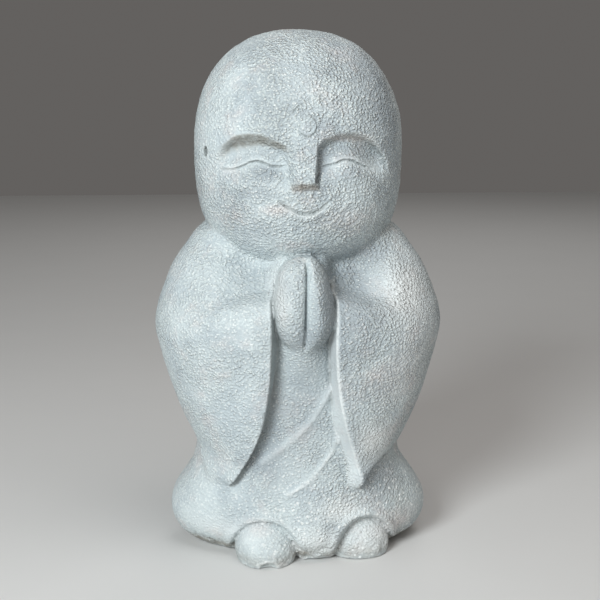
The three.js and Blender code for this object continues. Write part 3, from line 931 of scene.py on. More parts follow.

# Painted shade along the lids, the mouth and the brows, and round the boss; the brows' band also carries
# their brown stain
LID_SHADE = [18.0, 26.0]
LID_SHADE_FADE = 14.0
MOUTH_SHADE = [28.0, 21.0]
BROW_BAND_EDGE = [-1.0, 2.0]
BROW_BAND_DROP = [19.0, 9.0]
BROW_BAND_IN = [14.0, 26.0]
BROW_BAND_OUT = [98.0, 74.0]
LEFT_BROW_THICK = 0.5
RIGHT_BROW_THICK = 0.45
RIGHT_BROW_THICKER = 0.65
RIGHT_BROW_SPREAD = [20.0, 70.0]
URNA_SHADE_OUT = 0.4
URNA_SHADE_HALF = 1.1
URNA_RING_SHADE = 0.5
URNA_SIDE_SHADE = 0.4
URNA_STROKE_SHADE = 0.4
URNA_SHADE_SLANT = 0.7

# How far out from the skin closeness to other stone is felt for, and how dark each kind of painted shade is
FEELERS = [3.0, 7.0, 14.0]
HOLE_SHADE = 2.0
LINE_SHADE = 0.9
WALL_SHADE = 0.95
BROW_SHADE = 0.68
CRACK_SHADE = 0.7
HOLE_RIM = [1.25, 0.95]

# Where shade is painted on the right sleeve's wall, and how much less painted shade the hands and the hem
# get
WALL_SHADE_GAP = [1.4, 0.6]
WALL_SHADE_SIDE = -20.0
WALL_SHADE_TOP = [PANEL_TOP, 290.0]
WALL_SHADE_TIP = [80.0, 94.0]
HAND_SKIN = [3.0, 0.0]
HAND_LESS_SHADE = 0.75
HEM_LESS_SHADE = 0.55
HEM_BELOW = [70.0, 50.0]

# How deep under the skin an edge is felt for, and how pale each kind of wear and painted light is
WEAR_DEPTH = 4.0
EDGE_WEAR = 0.7
WALL_LIGHT = 0.42
CREST_WEAR_AND_HIGHLIGHT = 0.28
FOOT_LIGHT = 0.65
RIM_WEAR = 0.4

# Where each kind of wear and painted light lies
EDGE_RANGE = [0.05, 0.4]
EDGE_HEAD = [370.0, 390.0]
EDGE_HEAD_LESS = 0.75
CRISP_SIDE = [-10.0, -25.0]
CRISP_GAP = [8.0, 4.0]
CRISP_LESS = 0.85
BOSS_CLEAR = 4.0
WALL_LIGHT_GAP = [1.6, 0.6]
WALL_LIGHT_SIDE = 20.0
WALL_LIGHT_TOP = [320.0, 260.0]
WALL_LIGHT_LOW = 80.0
FOOT_SKIN = [2.0, -1.0]
FOOT_LIGHT_RISE = [4.0, 14.0]
CREST_SPREAD = 0.7
CREST_FRONT = [-70.0, -85.0]
CREST_INSIDE = [0.0, -3.0]
LIP_PALE_OUT = 3.5
LIP_PALE_HALF = 3.0
LIP_PALE_FRONT = [-62.0, -74.0]
LIP_PALE_BELOW = [70.0, 55.0]
RIM_DROP = 2.4
RIM_HALF = 1.2
RIM_FRONT = [-95.0, -105.0]
RIM_RIGHT_END = [-24.0, -15.0]
RIM_LEFT_END = [24.0, 18.0]

# How brown the right and the left brow and the nose's underside are
BROW_STAIN = [0.85, 0.38]
NOSE_STAIN = 0.8
NOSE_STAIN_Z = 432.5
NOSE_STAIN_HALF = 4.0
NOSE_STAIN_OUT = [17.0, 12.0]
NOSE_STAIN_FRONT = [-112.0, -118.0]

# The brown band along the hem, thinner on the toes and on the tongue between them
HEM_STAIN_Z = 8.0
HEM_STAIN_HALF = 9.0
HEM_STAIN_LESS = 0.65
TONGUE_HALF = 26.0

# How strongly the head and the robe were hammered, and the least anywhere
HEAD_HAMMERING = 0.95
ROBE_HAMMERING = 0.5
LEAST_HAMMERING = 0.05
HAND_HAMMERING = 0.2
STRUCK_HAND = [4.0, -2.0]
TOES_LESS = 0.3
EDGES_LESS = 0.85
SOLE = [8.0, 0.5]
TOE_SKIN = [3.0, -1.0]

# The robe's hammering: more on its left side, less on the panel and near the hem on either side
LEFT_SIDE = [-60.0, 50.0]
LEFT_SIDE_MORE = 0.15
PANEL_MIDDLE = [40.0, 20.0]
PANEL_BELOW = [250.0, 230.0]
PANEL_LESS = 0.15
RIGHT_HEM = [-20.0, -70.0]
RIGHT_HEM_BELOW = [105.0, 70.0]
RIGHT_HEM_LESS = 0.45
LEFT_HEM = [40.0, 90.0]
LEFT_HEM_BELOW = [110.0, 70.0]
LEFT_HEM_LESS = 0.4

# Parts of the face that were left smooth, and how smooth each is
SMOOTH_LID_START = [-3.0, 2.0]
SMOOTH_LID_END = [46.0, 30.0]
SMOOTH_LID_IN = [12.0, 20.0]
SMOOTH_LID_OUT = [98.0, 82.0]
SMOOTH_TEMPLE_SIDE = [-25.0, -75.0]
SMOOTH_TEMPLE_ABOVE = [455.0, 475.0]
SMOOTH_BOSS_EDGE = [3.0, -1.0]
SMOOTH_SMILE_HALF = 4.0
SMOOTH_SMILE_ENDS = [32.0, 22.0]
SMOOTH_SLIT_HALF = 3.5
SMOOTH_SLIT_IN = [14.0, 22.0]
SMOOTH_SLIT_OUT = [90.0, 78.0]
LID_SMOOTHNESS = 0.45
TEMPLE_SMOOTHNESS = 0.5
BOSS_SMOOTHNESS = 0.45
LINE_SMOOTHNESS = 0.95
SMOOTHEST = 0.9

# Walls, seam and folds that were left smooth
SMOOTH_WALL_GAP = [6.0, 1.0]
SMOOTH_WALL_FRONT = [-90.0, -96.0]
SMOOTH_WALL_TOP = [PANEL_TOP - 6.0, PANEL_TOP - 14.0]
SMOOTH_SEAM_SIDE = 2.0
SMOOTH_SEAM_HALF = 4.5
SMOOTH_SEAM_PAST = 2.0
SMOOTH_FOLD_SPREAD = 1.2
SMOOTH_FOLD_FRONT = [-80.0, -90.0]

# Chips along the hem: where they start and stop, and how many fewer the toes have
CHIPS_BELOW = [30.0, 12.0]
CHIPS_ABOVE = [0.2, 6.0]
TOE_CHIPS_LESS = 0.75


def eye_line(x):
    """Height of the line under the lid, on either side of the face."""
    return np.where(x < 0.0, EYE_CURVES[0](-x)[0], EYE_CURVES[1](x)[0])


def face_lines(x, y, z):
    """One in the lines under the lids and of the mouth."""
    out = np.abs(x)
    ends = np.where(x < 0.0, RIGHT_EYE_ENDS[1], LEFT_EYE_ENDS[1])
    eyes = bell((z - eye_line(x)) / EYE_LINE_HALF) * smooth_step(*LID_SHADE, out)
    eyes = eyes * smooth_step(ends, ends - LID_SHADE_FADE, out)
    smile = bell(mouth_rise(x, z) / MOUTH_HALF) * smooth_step(*MOUTH_SHADE, out)
    return np.maximum(eyes, smile) * smooth_step(*FACE_FRONT, y)


def urna_lines(x, y, z):
    """Painted shade round the boss, most below it on the viewer's right, and in its strokes."""
    ring = bell((urna_away(x, z) - URNA_RADIUS - URNA_SHADE_OUT) / URNA_SHADE_HALF)
    slant = URNA_SHADE_SLANT * (x - URNA_X) - URNA_SHADE_SLANT * (z - URNA_Z)
    side = smooth_step(-URNA_RADIUS, URNA_RADIUS, slant)
    ring = ring * (URNA_RING_SHADE + URNA_SIDE_SHADE * side)
    return np.maximum(ring, URNA_STROKE_SHADE * urna_strokes(x, z)) * smooth_step(*FACE_FRONT, y)


def brow_band(x, y, z):
    """One in the band under each brow, which thins towards the nose; it carries the brows' brown stain and
    the painted shade under the right brow.
    """
    drop = brow_drop(x, z)
    out = np.abs(x)
    right = RIGHT_BROW_THICK + RIGHT_BROW_THICKER * smooth_step(*RIGHT_BROW_SPREAD, out)
    thick = np.where(x < 0.0, right, LEFT_BROW_THICK)
    low, high = BROW_BAND_DROP
    band = smooth_step(*BROW_BAND_EDGE, drop) * smooth_step(low * thick, high * thick, drop)
    band = band * smooth_step(*BROW_BAND_IN, out) * smooth_step(*BROW_BAND_OUT, out)
    return band * (z > FACE_LOW) * smooth_step(*FRONT, y)


def closeness(points, normals):
    """How much stone stands close in front of each point, at a few reaches out from the skin."""
    total = np.zeros(len(points))
    for reach in FEELERS:
        gap = statue_field(*(points + normals * reach).T)
        total += np.clip((reach - gap) / reach, 0.0, 1.0)
    return total / len(FEELERS)


def shelter(points, normals):
    """How much painted shade each point gets: one deep in a crease or a carved line, zero in the open."""
    x, y, z = points.T
    hands = smooth_step(*HAND_SKIN, hands_field(x, y, z)) * smooth_step(*HAND_FRONT, y)
    # Painted shade where other stone stands close: creases, recesses and hollows, less on the hands, the hem
    # and a few places
    creases = closeness(points, normals) * (1.0 - HAND_LESS_SHADE * hands)
    creases = creases * (1.0 - HEM_LESS_SHADE * smooth_step(*HEM_BELOW, z))
    creases = creases * (1.0 - np.max(patches(x, z, LESS_SHADE_PLACES), axis=0))
    # Painted shade, darkest inside the temple's pit
    hole = smooth_step(*HOLE_RIM, ball_ratio(x, y, z, TEMPLE_PIT, TEMPLE_PIT_HALF))
    # Painted shade on the right sleeve's wall
    wall = smooth_step(*WALL_SHADE_GAP, np.abs(panel_field(x, y, z))) * (x < WALL_SHADE_SIDE)
    wall = wall * smooth_step(*WALL_SHADE_TOP, z) * smooth_step(*WALL_SHADE_TIP, z)
    kinds = [
        creases,
        HOLE_SHADE * hole,
        # Painted shade in the carved lines of the lids and mouth, under the right brow, round the boss and
        # in the cracks
        LINE_SHADE * face_lines(x, y, z),
        WALL_SHADE * wall,
        BROW_SHADE * brow_band(x, y, z) * (x < 0.0),
        urna_lines(x, y, z),
        CRACK_SHADE * crack_share(x, z) * smooth_step(*FACE_FRONT, y),
    ]
    return np.maximum.reduce(kinds)


def fold_share(x, z, spread):
    """One along the robe's folds, fading off over that share of their half widths."""
    return np.max([bell(line_gap(x, z, line) / (spread * half)) for line, half, _ in FOLD_LINES], axis=0)


def toe_share(x, y, z):
    """One on the feet, zero on the robe."""
    return smooth_step(*TOE_SKIN, feet_field(x, y, z))


def worn_and_lit_crests(x, y, z):
    """One along the crests of the folds and the lips of the hem's arches, paled as wear and painted
    highlight.
    """
    folds = fold_share(x, z, CREST_SPREAD) * smooth_step(*CREST_FRONT, y)
    folds = folds * smooth_step(*CREST_INSIDE, panel_field(x, y, z))
    lips = np.max([bell((arch_field(x, z, arch) - LIP_PALE_OUT) / LIP_PALE_HALF) for arch in ARCHES], axis=0)
    return np.maximum(folds, lips * smooth_step(*LIP_PALE_FRONT, y) * smooth_step(*LIP_PALE_BELOW, z))


def mouth_rim(x, y, z):
    """One along the rim under the mouth's line."""
    rim = bell((mouth_rise(x, z) + RIM_DROP) / RIM_HALF) * smooth_step(*RIM_FRONT, y)
    return rim * smooth_step(*RIM_RIGHT_END, x) * smooth_step(*RIM_LEFT_END, x)


def wear_and_painted_light(points, normals):
    """How pale each point is: rubbed edges and the mouth's rim as wear, the crests as wear and painted
    highlight, and the left sleeve's wall, the left foot and the lit places as painted light.
    """
    x, y, z = points.T
    panel = panel_field(x, y, z)
    gap = statue_field(*(points - normals * WEAR_DEPTH).T)
    boss = smooth_step(URNA_RADIUS + BOSS_CLEAR, URNA_RADIUS, urna_away(x, z))
    crisp = smooth_step(*CRISP_SIDE, x) * smooth_step(*CRISP_GAP, np.abs(panel))
    edges = smooth_step(*EDGE_RANGE, (WEAR_DEPTH + gap) / WEAR_DEPTH) * (1.0 - boss)
    edges = edges * (1.0 - CRISP_LESS * crisp) * (1.0 - EDGE_HEAD_LESS * smooth_step(*EDGE_HEAD, z))
    wall = smooth_step(*WALL_LIGHT_GAP, np.abs(panel)) * (x > WALL_LIGHT_SIDE)
    wall = wall * smooth_step(*WALL_LIGHT_TOP, z) * (z > WALL_LIGHT_LOW)
    foot = smooth_step(*FOOT_SKIN, foot_field(x, y, z, FEET[1])) * smooth_step(*FOOT_LIGHT_RISE, z)
    kinds = [
        EDGE_WEAR * edges,
        WALL_LIGHT * wall,
        CREST_WEAR_AND_HIGHLIGHT * worn_and_lit_crests(x, y, z),
        FOOT_LIGHT * foot,
        RIM_WEAR * mouth_rim(x, y, z),
        # Painted light: paler patches where the stone should look more brightly lit
        np.max(patches(x, z, LIT_PLACES), axis=0) * smooth_step(*LIT_PLACES_FRONT, y),
    ]
    return np.clip(np.maximum.reduce(kinds), 0.0, 1.0)


def brown_stain(points):
    """Where brown has settled: under the brows and the nose, along the hem and in the stained places."""
    x, y, z = points.T
    front = smooth_step(*FRONT, y)
    brows = np.where(x < 0.0, *BROW_STAIN) * brow_band(x, y, z)
    under_nose = bell((z - NOSE_STAIN_Z) / NOSE_STAIN_HALF) * smooth_step(*NOSE_STAIN_OUT, np.abs(x))
    under_nose = under_nose * smooth_step(*NOSE_STAIN_FRONT, y)
    tongue = bell((x - TONGUE_X) / TONGUE_HALF) * front
    hem = bell((z - HEM_STAIN_Z) / HEM_STAIN_HALF) * (1.0 - HEM_STAIN_LESS * toe_share(x, y, z))
    hem = hem * (1.0 - HEM_STAIN_LESS * tongue)
    places = sum(patches(x, z, STAINS)) * front
    return np.clip(brows + NOSE_STAIN * under_nose + hem + places, 0.0, 1.0)


def tint(points):
    """Where the stone turns pinkish, above zero, partly as painted light, and blue-grey, below it, mostly as
    painted shade.
    """
    x, y, z = points.T
    return np.clip(sum(patches(x, z, TINTS_AND_PAINTED_LIGHT)) * smooth_step(*TINT_FRONT, y), -1.0, 1.0)


def robe_hammering(x, z):
    """How strongly the robe was hammered: more on its left side, less on the panel and near the hem."""
    robe = ROBE_HAMMERING + LEFT_SIDE_MORE * smooth_step(*LEFT_SIDE, x)
    robe = robe - PANEL_LESS * smooth_step(*PANEL_MIDDLE, np.abs(x)) * smooth_step(*PANEL_BELOW, z)
    robe = robe * (1.0 - RIGHT_HEM_LESS * smooth_step(*RIGHT_HEM_BELOW, z) * smooth_step(*RIGHT_HEM, x))
    return robe * (1.0 - LEFT_HEM_LESS * smooth_step(*LEFT_HEM_BELOW, z) * smooth_step(*LEFT_HEM, x))


def smooth_face(x, y, z):
    """How far the lids, the carved lines, the boss and the right temple were left smooth."""
    out = np.abs(x)
    front = smooth_step(*FRONT, y)
    drop = brow_drop(x, z)
    lids = smooth_step(*SMOOTH_LID_START, drop) * smooth_step(*SMOOTH_LID_END, drop) * (z > FACE_LOW) * front
    lids = lids * smooth_step(*SMOOTH_LID_IN, out) * smooth_step(*SMOOTH_LID_OUT, out)
    temple = smooth_step(*SMOOTH_TEMPLE_SIDE, x) * smooth_step(*SMOOTH_TEMPLE_ABOVE, z)
    low, high = SMOOTH_BOSS_EDGE
    boss = smooth_step(URNA_RADIUS + low, URNA_RADIUS + high, urna_away(x, z))
    smile = bell(mouth_rise(x, z) / SMOOTH_SMILE_HALF) * smooth_step(*SMOOTH_SMILE_ENDS, out)
    slits = bell((z - eye_line(x)) / SMOOTH_SLIT_HALF)
    slits = slits * smooth_step(*SMOOTH_SLIT_IN, out) * smooth_step(*SMOOTH_SLIT_OUT, out)
    lines = np.maximum(BOSS_SMOOTHNESS * boss, LINE_SMOOTHNESS * np.maximum(smile, slits))
    return np.clip(LID_SMOOTHNESS * lids + TEMPLE_SMOOTHNESS * temple + front * lines, 0.0, SMOOTHEST)


def smooth_edges(x, y, z, hands):
    """How smooth the sleeves' walls, the seam between the palms and the folds are."""
    walls = smooth_step(*SMOOTH_WALL_GAP, np.abs(panel_field(x, y, z))) * smooth_step(*SMOOTH_WALL_FRONT, y)
    walls = walls * smooth_step(*SMOOTH_WALL_TOP, z)
    seam = hands * bell((x - seam_at(z) - SMOOTH_SEAM_SIDE) / SMOOTH_SEAM_HALF)
    seam = seam * (z < HANDS_TOP + SMOOTH_SEAM_PAST)
    folds = fold_share(x, z, SMOOTH_FOLD_SPREAD) * smooth_step(*SMOOTH_FOLD_FRONT, y)
    return np.maximum.reduce([walls, seam, folds])


def hammering(points):
    """How strongly each point was hammered: most on the head, least in carved lines and at the ground."""
    x, y, z = points.T
    hands = smooth_step(*STRUCK_HAND, hands_field(x, y, z))
    robe = robe_hammering(x, z)
    bare = np.maximum(smooth_step(*HEAD_START, z), HAND_HAMMERING * hands)
    strength = robe + (HEAD_HAMMERING - robe) * bare
    strength = strength * (1.0 - smooth_face(x, y, z)) * (1.0 - EDGES_LESS * smooth_edges(x, y, z, hands))
    strength = strength * (1.0 - TOES_LESS * toe_share(x, y, z))
    return np.clip(strength - smooth_step(*SOLE, z), LEAST_HAMMERING, 1.0)


def chipping(points):
    """Where the stone has chipped: along the hem's lower rim and, less, round the toes."""
    x, y, z = points.T
    chips = smooth_step(*CHIPS_BELOW, z) * smooth_step(*CHIPS_ABOVE, z)
    return chips * (1.0 - TOE_CHIPS_LESS * toe_share(x, y, z))


def paint_points(mesh, name, values):
    """Keeps one number for each point of the mesh, for its nodes to read."""
    layer = mesh.attributes.new(name, "FLOAT", "POINT")
    layer.data.foreach_set("value", np.asarray(values, np.float32))


def mesh_points(mesh):
    """The mesh's points as rows of numbers."""
    flat = np.empty(3 * len(mesh.vertices), np.float32)
    mesh.vertices.foreach_get("co", flat)
    return flat.reshape(-1, 3).astype(float)


def statue_mesh():
    """The carved skin as a mesh in metres, with what its nodes read."""
    points, faces = carve()
    mesh = bpy.data.meshes.new("jizo_stone")
    mesh.vertices.add(len(points))
    mesh.vertices.foreach_set("co", points.astype(np.float32).ravel())
    mesh.loops.add(faces.size)
    mesh.loops.foreach_set("vertex_index", faces.astype(np.int32).ravel())
    mesh.polygons.add(len(faces))
    mesh.polygons.foreach_set("loop_start", np.arange(0, faces.size, 4, dtype=np.int32))
    mesh.update(calc_edges=True)
    if mesh.validate(clean_customdata=False):
        raise RuntimeError("the carved skin has broken faces")
    refine(mesh, fine_work(points))
    refine(mesh, line_work(mesh_points(mesh)))
    points, normals = settle(mesh_points(mesh))
    mesh.vertices.foreach_set("co", (points * MM).astype(np.float32).ravel())
    mesh.polygons.foreach_set("use_smooth", np.ones(len(mesh.polygons), bool))
    mesh.update()
    paint_points(mesh, "shelter", shelter(points, normals))
    paint_points(mesh, "wear", wear_and_painted_light(points, normals))
    paint_points(mesh, "stain", brown_stain(points))
    paint_points(mesh, "tint", tint(points))
    paint_points(mesh, "hammering", hammering(points))
    paint_points(mesh, "chipping", chipping(points))
    return mesh


# Node trees

# Hammering: the middles of its noises, the dents' gain, and where chips break out of their noise
DENT_MIDDLE = 0.52
DENT_GAIN = 4.0
SWELL_MIDDLE = 0.5
CHIP_RANGE = [0.47, 0.62]


class Tree:
    """A node tree with short ways to add and join nodes."""

    def __init__(self, tree):
        self.nodes = tree.nodes
        self.links = tree.links

    def feed(self, socket, value):
        if isinstance(value, bpy.types.NodeSocket):
            self.links.new(value, socket)
        else:
            socket.default_value = value

    def add(self, kind, inputs=None, **settings):
        node = self.nodes.new(kind)
        for name, value in settings.items():
            setattr(node, name, value)
        for name, value in (inputs or {}).items():
            self.feed(node.inputs[name], value)
        return node

    def math(self, operation, first, second=0.0, third=0.0, clamp=False):
        inputs = {0: first, 1: second, 2: third}
        return self.add("ShaderNodeMath", inputs, operation=operation, use_clamp=clamp).outputs[0]

    def times(self, first, second):
        return self.math("MULTIPLY", first, second)

    def vector(self, operation, first, second):
        return self.add("ShaderNodeVectorMath", {0: first, 1: second}, operation=operation).outputs[0]

    def scaled(self, vector, share):
        return self.add("ShaderNodeVectorMath", {0: vector, "Scale": share}, operation="SCALE").outputs[0]

    def spread(self, value, low, high, start=0.0, end=1.0):
        inputs = {"Value": value, "From Min": low, "From Max": high, "To Min": start, "To Max": end}
        return self.add("ShaderNodeMapRange", inputs, interpolation_type="SMOOTHSTEP").outputs["Result"]

    def noise(self, vector, scale, detail=2.0, roughness=0.5, **inputs):
        sockets = {"Vector": vector, "Scale": scale, "Detail": detail, "Roughness": roughness}
        sockets.update(inputs)
        return self.add("ShaderNodeTexNoise", sockets).outputs["Fac"]

    def cells(self, vector, scale):
        return self.add("ShaderNodeTexVoronoi", {"Vector": vector, "Scale": scale}).outputs["Distance"]

    def mix(self, share, first, second):
        node = self.add("ShaderNodeMix", data_type="RGBA")
        for socket, value in zip((node.inputs[0], node.inputs[6], node.inputs[7]), (share, first, second)):
            self.feed(socket, value)
        return node.outputs[2]


def new_group(name, kind, inputs, outputs):
    """An empty node group with those sockets, its tree helper and its two end nodes."""
    group = bpy.data.node_groups.new(name, kind)
    for label, socket_type, default in inputs:
        socket = group.interface.new_socket(label, in_out="INPUT", socket_type=socket_type)
        if default is not None:
            socket.default_value = default
    for label, socket_type in outputs:
        group.interface.new_socket(label, in_out="OUTPUT", socket_type=socket_type)
    tree = Tree(group)
    return group, tree, tree.add("NodeGroupInput"), tree.add("NodeGroupOutput")


def hammer_tree():
    """Geometry nodes that dent, sway and chip the stone's skin along its normals."""
    group, tree, start, end = new_group(
        "Hammered skin",
        "GeometryNodeTree",
        [
            ("Geometry", "NodeSocketGeometry", None),
            ("Dent Size", "NodeSocketFloat", 0.012),
            ("Dent Depth", "NodeSocketFloat", 0.0006),
            ("Swell Size", "NodeSocketFloat", 0.05),
            ("Swell Depth", "NodeSocketFloat", 0.003),
            ("Chip Size", "NodeSocketFloat", 0.022),
            ("Chip Depth", "NodeSocketFloat", 0.004),
            ("Seed", "NodeSocketFloat", 3.0),
            ("Material", "NodeSocketMaterial", None),
        ],
        [("Geometry", "NodeSocketGeometry")],
    )
    values = start.outputs
    place = tree.add("GeometryNodeInputPosition").outputs[0]
    normal = tree.add("GeometryNodeInputNormal").outputs[0]
    struck = tree.add("GeometryNodeInputNamedAttribute", {"Name": "hammering"}, data_type="FLOAT").outputs[0]
    broken = tree.add("GeometryNodeInputNamedAttribute", {"Name": "chipping"}, data_type="FLOAT").outputs[0]
    shift = tree.add("ShaderNodeCombineXYZ", {"X": values["Seed"], "Y": values["Seed"]}).outputs[0]
    moved = tree.vector("ADD", place, shift)

    dents = tree.noise(moved, tree.math("DIVIDE", 1.0, values["Dent Size"]), 1.5, 0.55)
    dents = tree.times(tree.math("SUBTRACT", dents, DENT_MIDDLE), values["Dent Depth"])
    dents = tree.times(tree.times(dents, struck), DENT_GAIN)
    swell = tree.noise(moved, tree.math("DIVIDE", 1.0, values["Swell Size"]), 1.0, 0.5)
    swell = tree.times(tree.math("SUBTRACT", swell, SWELL_MIDDLE), values["Swell Depth"])
    swell = tree.times(swell, struck)
    chips = tree.noise(moved, tree.math("DIVIDE", 1.0, values["Chip Size"]), 2.0, 0.6)
    chips = tree.times(tree.spread(chips, *CHIP_RANGE), values["Chip Depth"])

    height = tree.math("SUBTRACT", tree.math("ADD", dents, swell), tree.times(chips, broken))
    offset = tree.scaled(normal, height)
    skin = tree.add("GeometryNodeSetPosition", {"Geometry": values["Geometry"], "Offset": offset})
    plain = tree.add("GeometryNodeRealizeInstances", {"Geometry": skin.outputs[0]}).outputs[0]
    dressed = tree.add("GeometryNodeSetMaterial", {"Geometry": plain, "Material": values["Material"]})
    tree.links.new(dressed.outputs[0], end.inputs[0])
    return group


def set_inputs(modifier, values):
    """Sets a geometry nodes modifier's inputs by the identifiers behind their names in the tree."""
    for item in modifier.node_group.interface.items_tree:
        if item.in_out == "INPUT" and item.name in values:
            modifier[item.identifier] = values[item.name]


def made_plain(piece):
    """Turns the piece's modifiers into its own mesh."""
    bpy.context.view_layer.update()
    depsgraph = bpy.context.evaluated_depsgraph_get()
    finished = bpy.data.meshes.new_from_object(
        piece.evaluated_get(depsgraph), preserve_all_data_layers=True, depsgraph=depsgraph
    )
    piece.modifiers.clear()
    piece.data = finished
    finished.name = piece.name


# Materials. A range says where a pattern starts and is full, and four numbers also say from what to what.

# Pits: how their rows sway and are drawn out, and how ridges, pebbles and grain make up their height
SWAYS_PER_METRE = 26.0
SWAY_REACH = 0.005
PIT_STRETCH = (0.85, 0.85, 1.0)
RIDGES_PER_PIT = 1.3
RIDGE_TWIST = 0.5
RIDGE_RANGE = [0.3, 0.7]
RIDGE_SHARE = 0.4
PEBBLE_RANGE = [0.75, 0.1]
PEBBLE_SHARE = 0.6
GRAIN_SHARE = 0.22
FLOOR_RANGE = [0.58, 0.2]

# Slow patches over the stone
COOL_RANGE = [0.44, 0.66]
COOL_SHARE = 0.8
WARM_ASIDE = (3.1, 1.7, 5.3)
WARM_PER_COOL = 1.4
WARM_RANGE = [0.5, 0.72]
WARM_SHARE = 0.6
# How strongly the blue-grey places, mostly painted shade, take their colour
SLATE_AND_SHADE_SHARE = 0.75

# Pit floors, darkened partly as painted shade, and dust
UNEVEN_PER_METRE = 24.0
UNEVEN_RANGE = [0.35, 0.65, 0.65, 1.15]
PITTING_RANGE = [0.0, 1.0, 0.25, 1.0]
FLOOR_SHARE = 0.6
UNPITTED_SHARE = 0.3
DUST_RANGE = [0.72, 1.0]
DUST_PITTING = [0.0, 1.0, 0.4, 0.75]
WEAR_AND_LIGHT_SHARE = 0.8

# Stain, painted shade and white specks
STREAKS_PER_METRE = 130.0
STAIN_STREAKS = [0.3, 0.6, 0.55, 1.0]
STAIN_SHARE = 0.8
SHADE_RANGE = [0.15, 0.8]
SHADE_STREAKS = [0.2, 0.7, 0.5, 1.0]
SHADE_DEEPEST = [1.0, 2.0, 0.5, 1.0]
SPECK_RANGE = [0.28, 0.19]
SPECK_HEIGHTS = [0.14, 0.06]
SPECK_SIDES = [-0.1, 0.0, 0.25, 1.0]
SPECK_SHARE = 0.85

ROUGHNESS_RANGE = [0.3, 0.7, 0.95, 0.8]
SPECULAR = 0.25
FLOOR_PATCHES = 6.0
FLOOR_ROUGHNESS = 0.9
FLOOR_SHADE = 0.97


def solid(colour):
    return (*colour, 1.0)


def pits_group():
    """Shader group: the height of small hammer pits and stone grain, and a mask of the pits' floors."""
    group, tree, start, end = new_group(
        "Hammer pits",
        "ShaderNodeTree",
        [
            ("Vector", "NodeSocketVector", None),
            ("Pit Size", "NodeSocketFloat", 0.003),
            ("Grain Size", "NodeSocketFloat", 0.0012),
        ],
        [("Height", "NodeSocketFloat"), ("Pits", "NodeSocketFloat"), ("Grain", "NodeSocketFloat")],
    )
    vector = start.outputs["Vector"]
    per_pit = tree.math("DIVIDE", 1.0, start.outputs["Pit Size"])
    per_grain = tree.math("DIVIDE", 1.0, start.outputs["Grain Size"])
    sway_inputs = {"Vector": vector, "Scale": SWAYS_PER_METRE, "Detail": 1.0}
    sway = tree.add("ShaderNodeTexNoise", sway_inputs).outputs["Color"]
    strokes = tree.vector("ADD", vector, tree.scaled(sway, SWAY_REACH))
    strokes = tree.vector("MULTIPLY", strokes, PIT_STRETCH)
    ridges = tree.noise(strokes, tree.times(per_pit, RIDGES_PER_PIT), 2.0, 0.55, Distortion=RIDGE_TWIST)
    ridges = tree.spread(ridges, *RIDGE_RANGE)
    pebbles = tree.spread(tree.cells(strokes, per_pit), *PEBBLE_RANGE)
    grain = tree.noise(vector, per_grain, 2.0, 0.6)
    height = tree.math("MULTIPLY_ADD", pebbles, PEBBLE_SHARE, tree.times(ridges, RIDGE_SHARE))
    floors = tree.spread(height, *FLOOR_RANGE)
    height = tree.math("MULTIPLY_ADD", grain, GRAIN_SHARE, height)
    tree.links.new(height, end.inputs["Height"])
    tree.links.new(floors, end.inputs["Pits"])
    tree.links.new(grain, end.inputs["Grain"])
    return group


def mottle_group():
    """Shader group: slow cool and warm patches over the pale stone."""
    group, tree, start, end = new_group(
        "Stone mottle",
        "ShaderNodeTree",
        [
            ("Vector", "NodeSocketVector", None),
            ("Pale", "NodeSocketColor", (0.69, 0.765, 0.765, 1.0)),
            ("Cool", "NodeSocketColor", (0.54, 0.615, 0.64, 1.0)),
            ("Warm", "NodeSocketColor", (0.75, 0.7, 0.675, 1.0)),
            ("Patch Size", "NodeSocketFloat", 0.05),
        ],
        [("Color", "NodeSocketColor")],
    )
    vector = start.outputs["Vector"]
    per_patch = tree.math("DIVIDE", 1.0, start.outputs["Patch Size"])
    cool = tree.spread(tree.noise(vector, per_patch, 4.0, 0.62), *COOL_RANGE)
    aside = tree.vector("ADD", vector, WARM_ASIDE)
    warm = tree.spread(tree.noise(aside, tree.times(per_patch, WARM_PER_COOL), 4.0, 0.62), *WARM_RANGE)
    color = tree.mix(tree.times(cool, COOL_SHARE), start.outputs["Pale"], start.outputs["Cool"])
    color = tree.mix(tree.times(warm, WARM_SHARE), color, start.outputs["Warm"])
    tree.links.new(color, end.inputs["Color"])
    return group


def new_material(name):
    """A material with nodes, its tree helper, its shader and its object coordinates."""
    material = bpy.data.materials.new(name)
    material.use_nodes = True
    tree = Tree(material.node_tree)
    return material, tree, tree.nodes["Principled BSDF"], tree.add("ShaderNodeTexCoord").outputs["Object"]


def attribute(tree, name):
    return tree.add("ShaderNodeAttribute", attribute_name=name).outputs["Fac"]


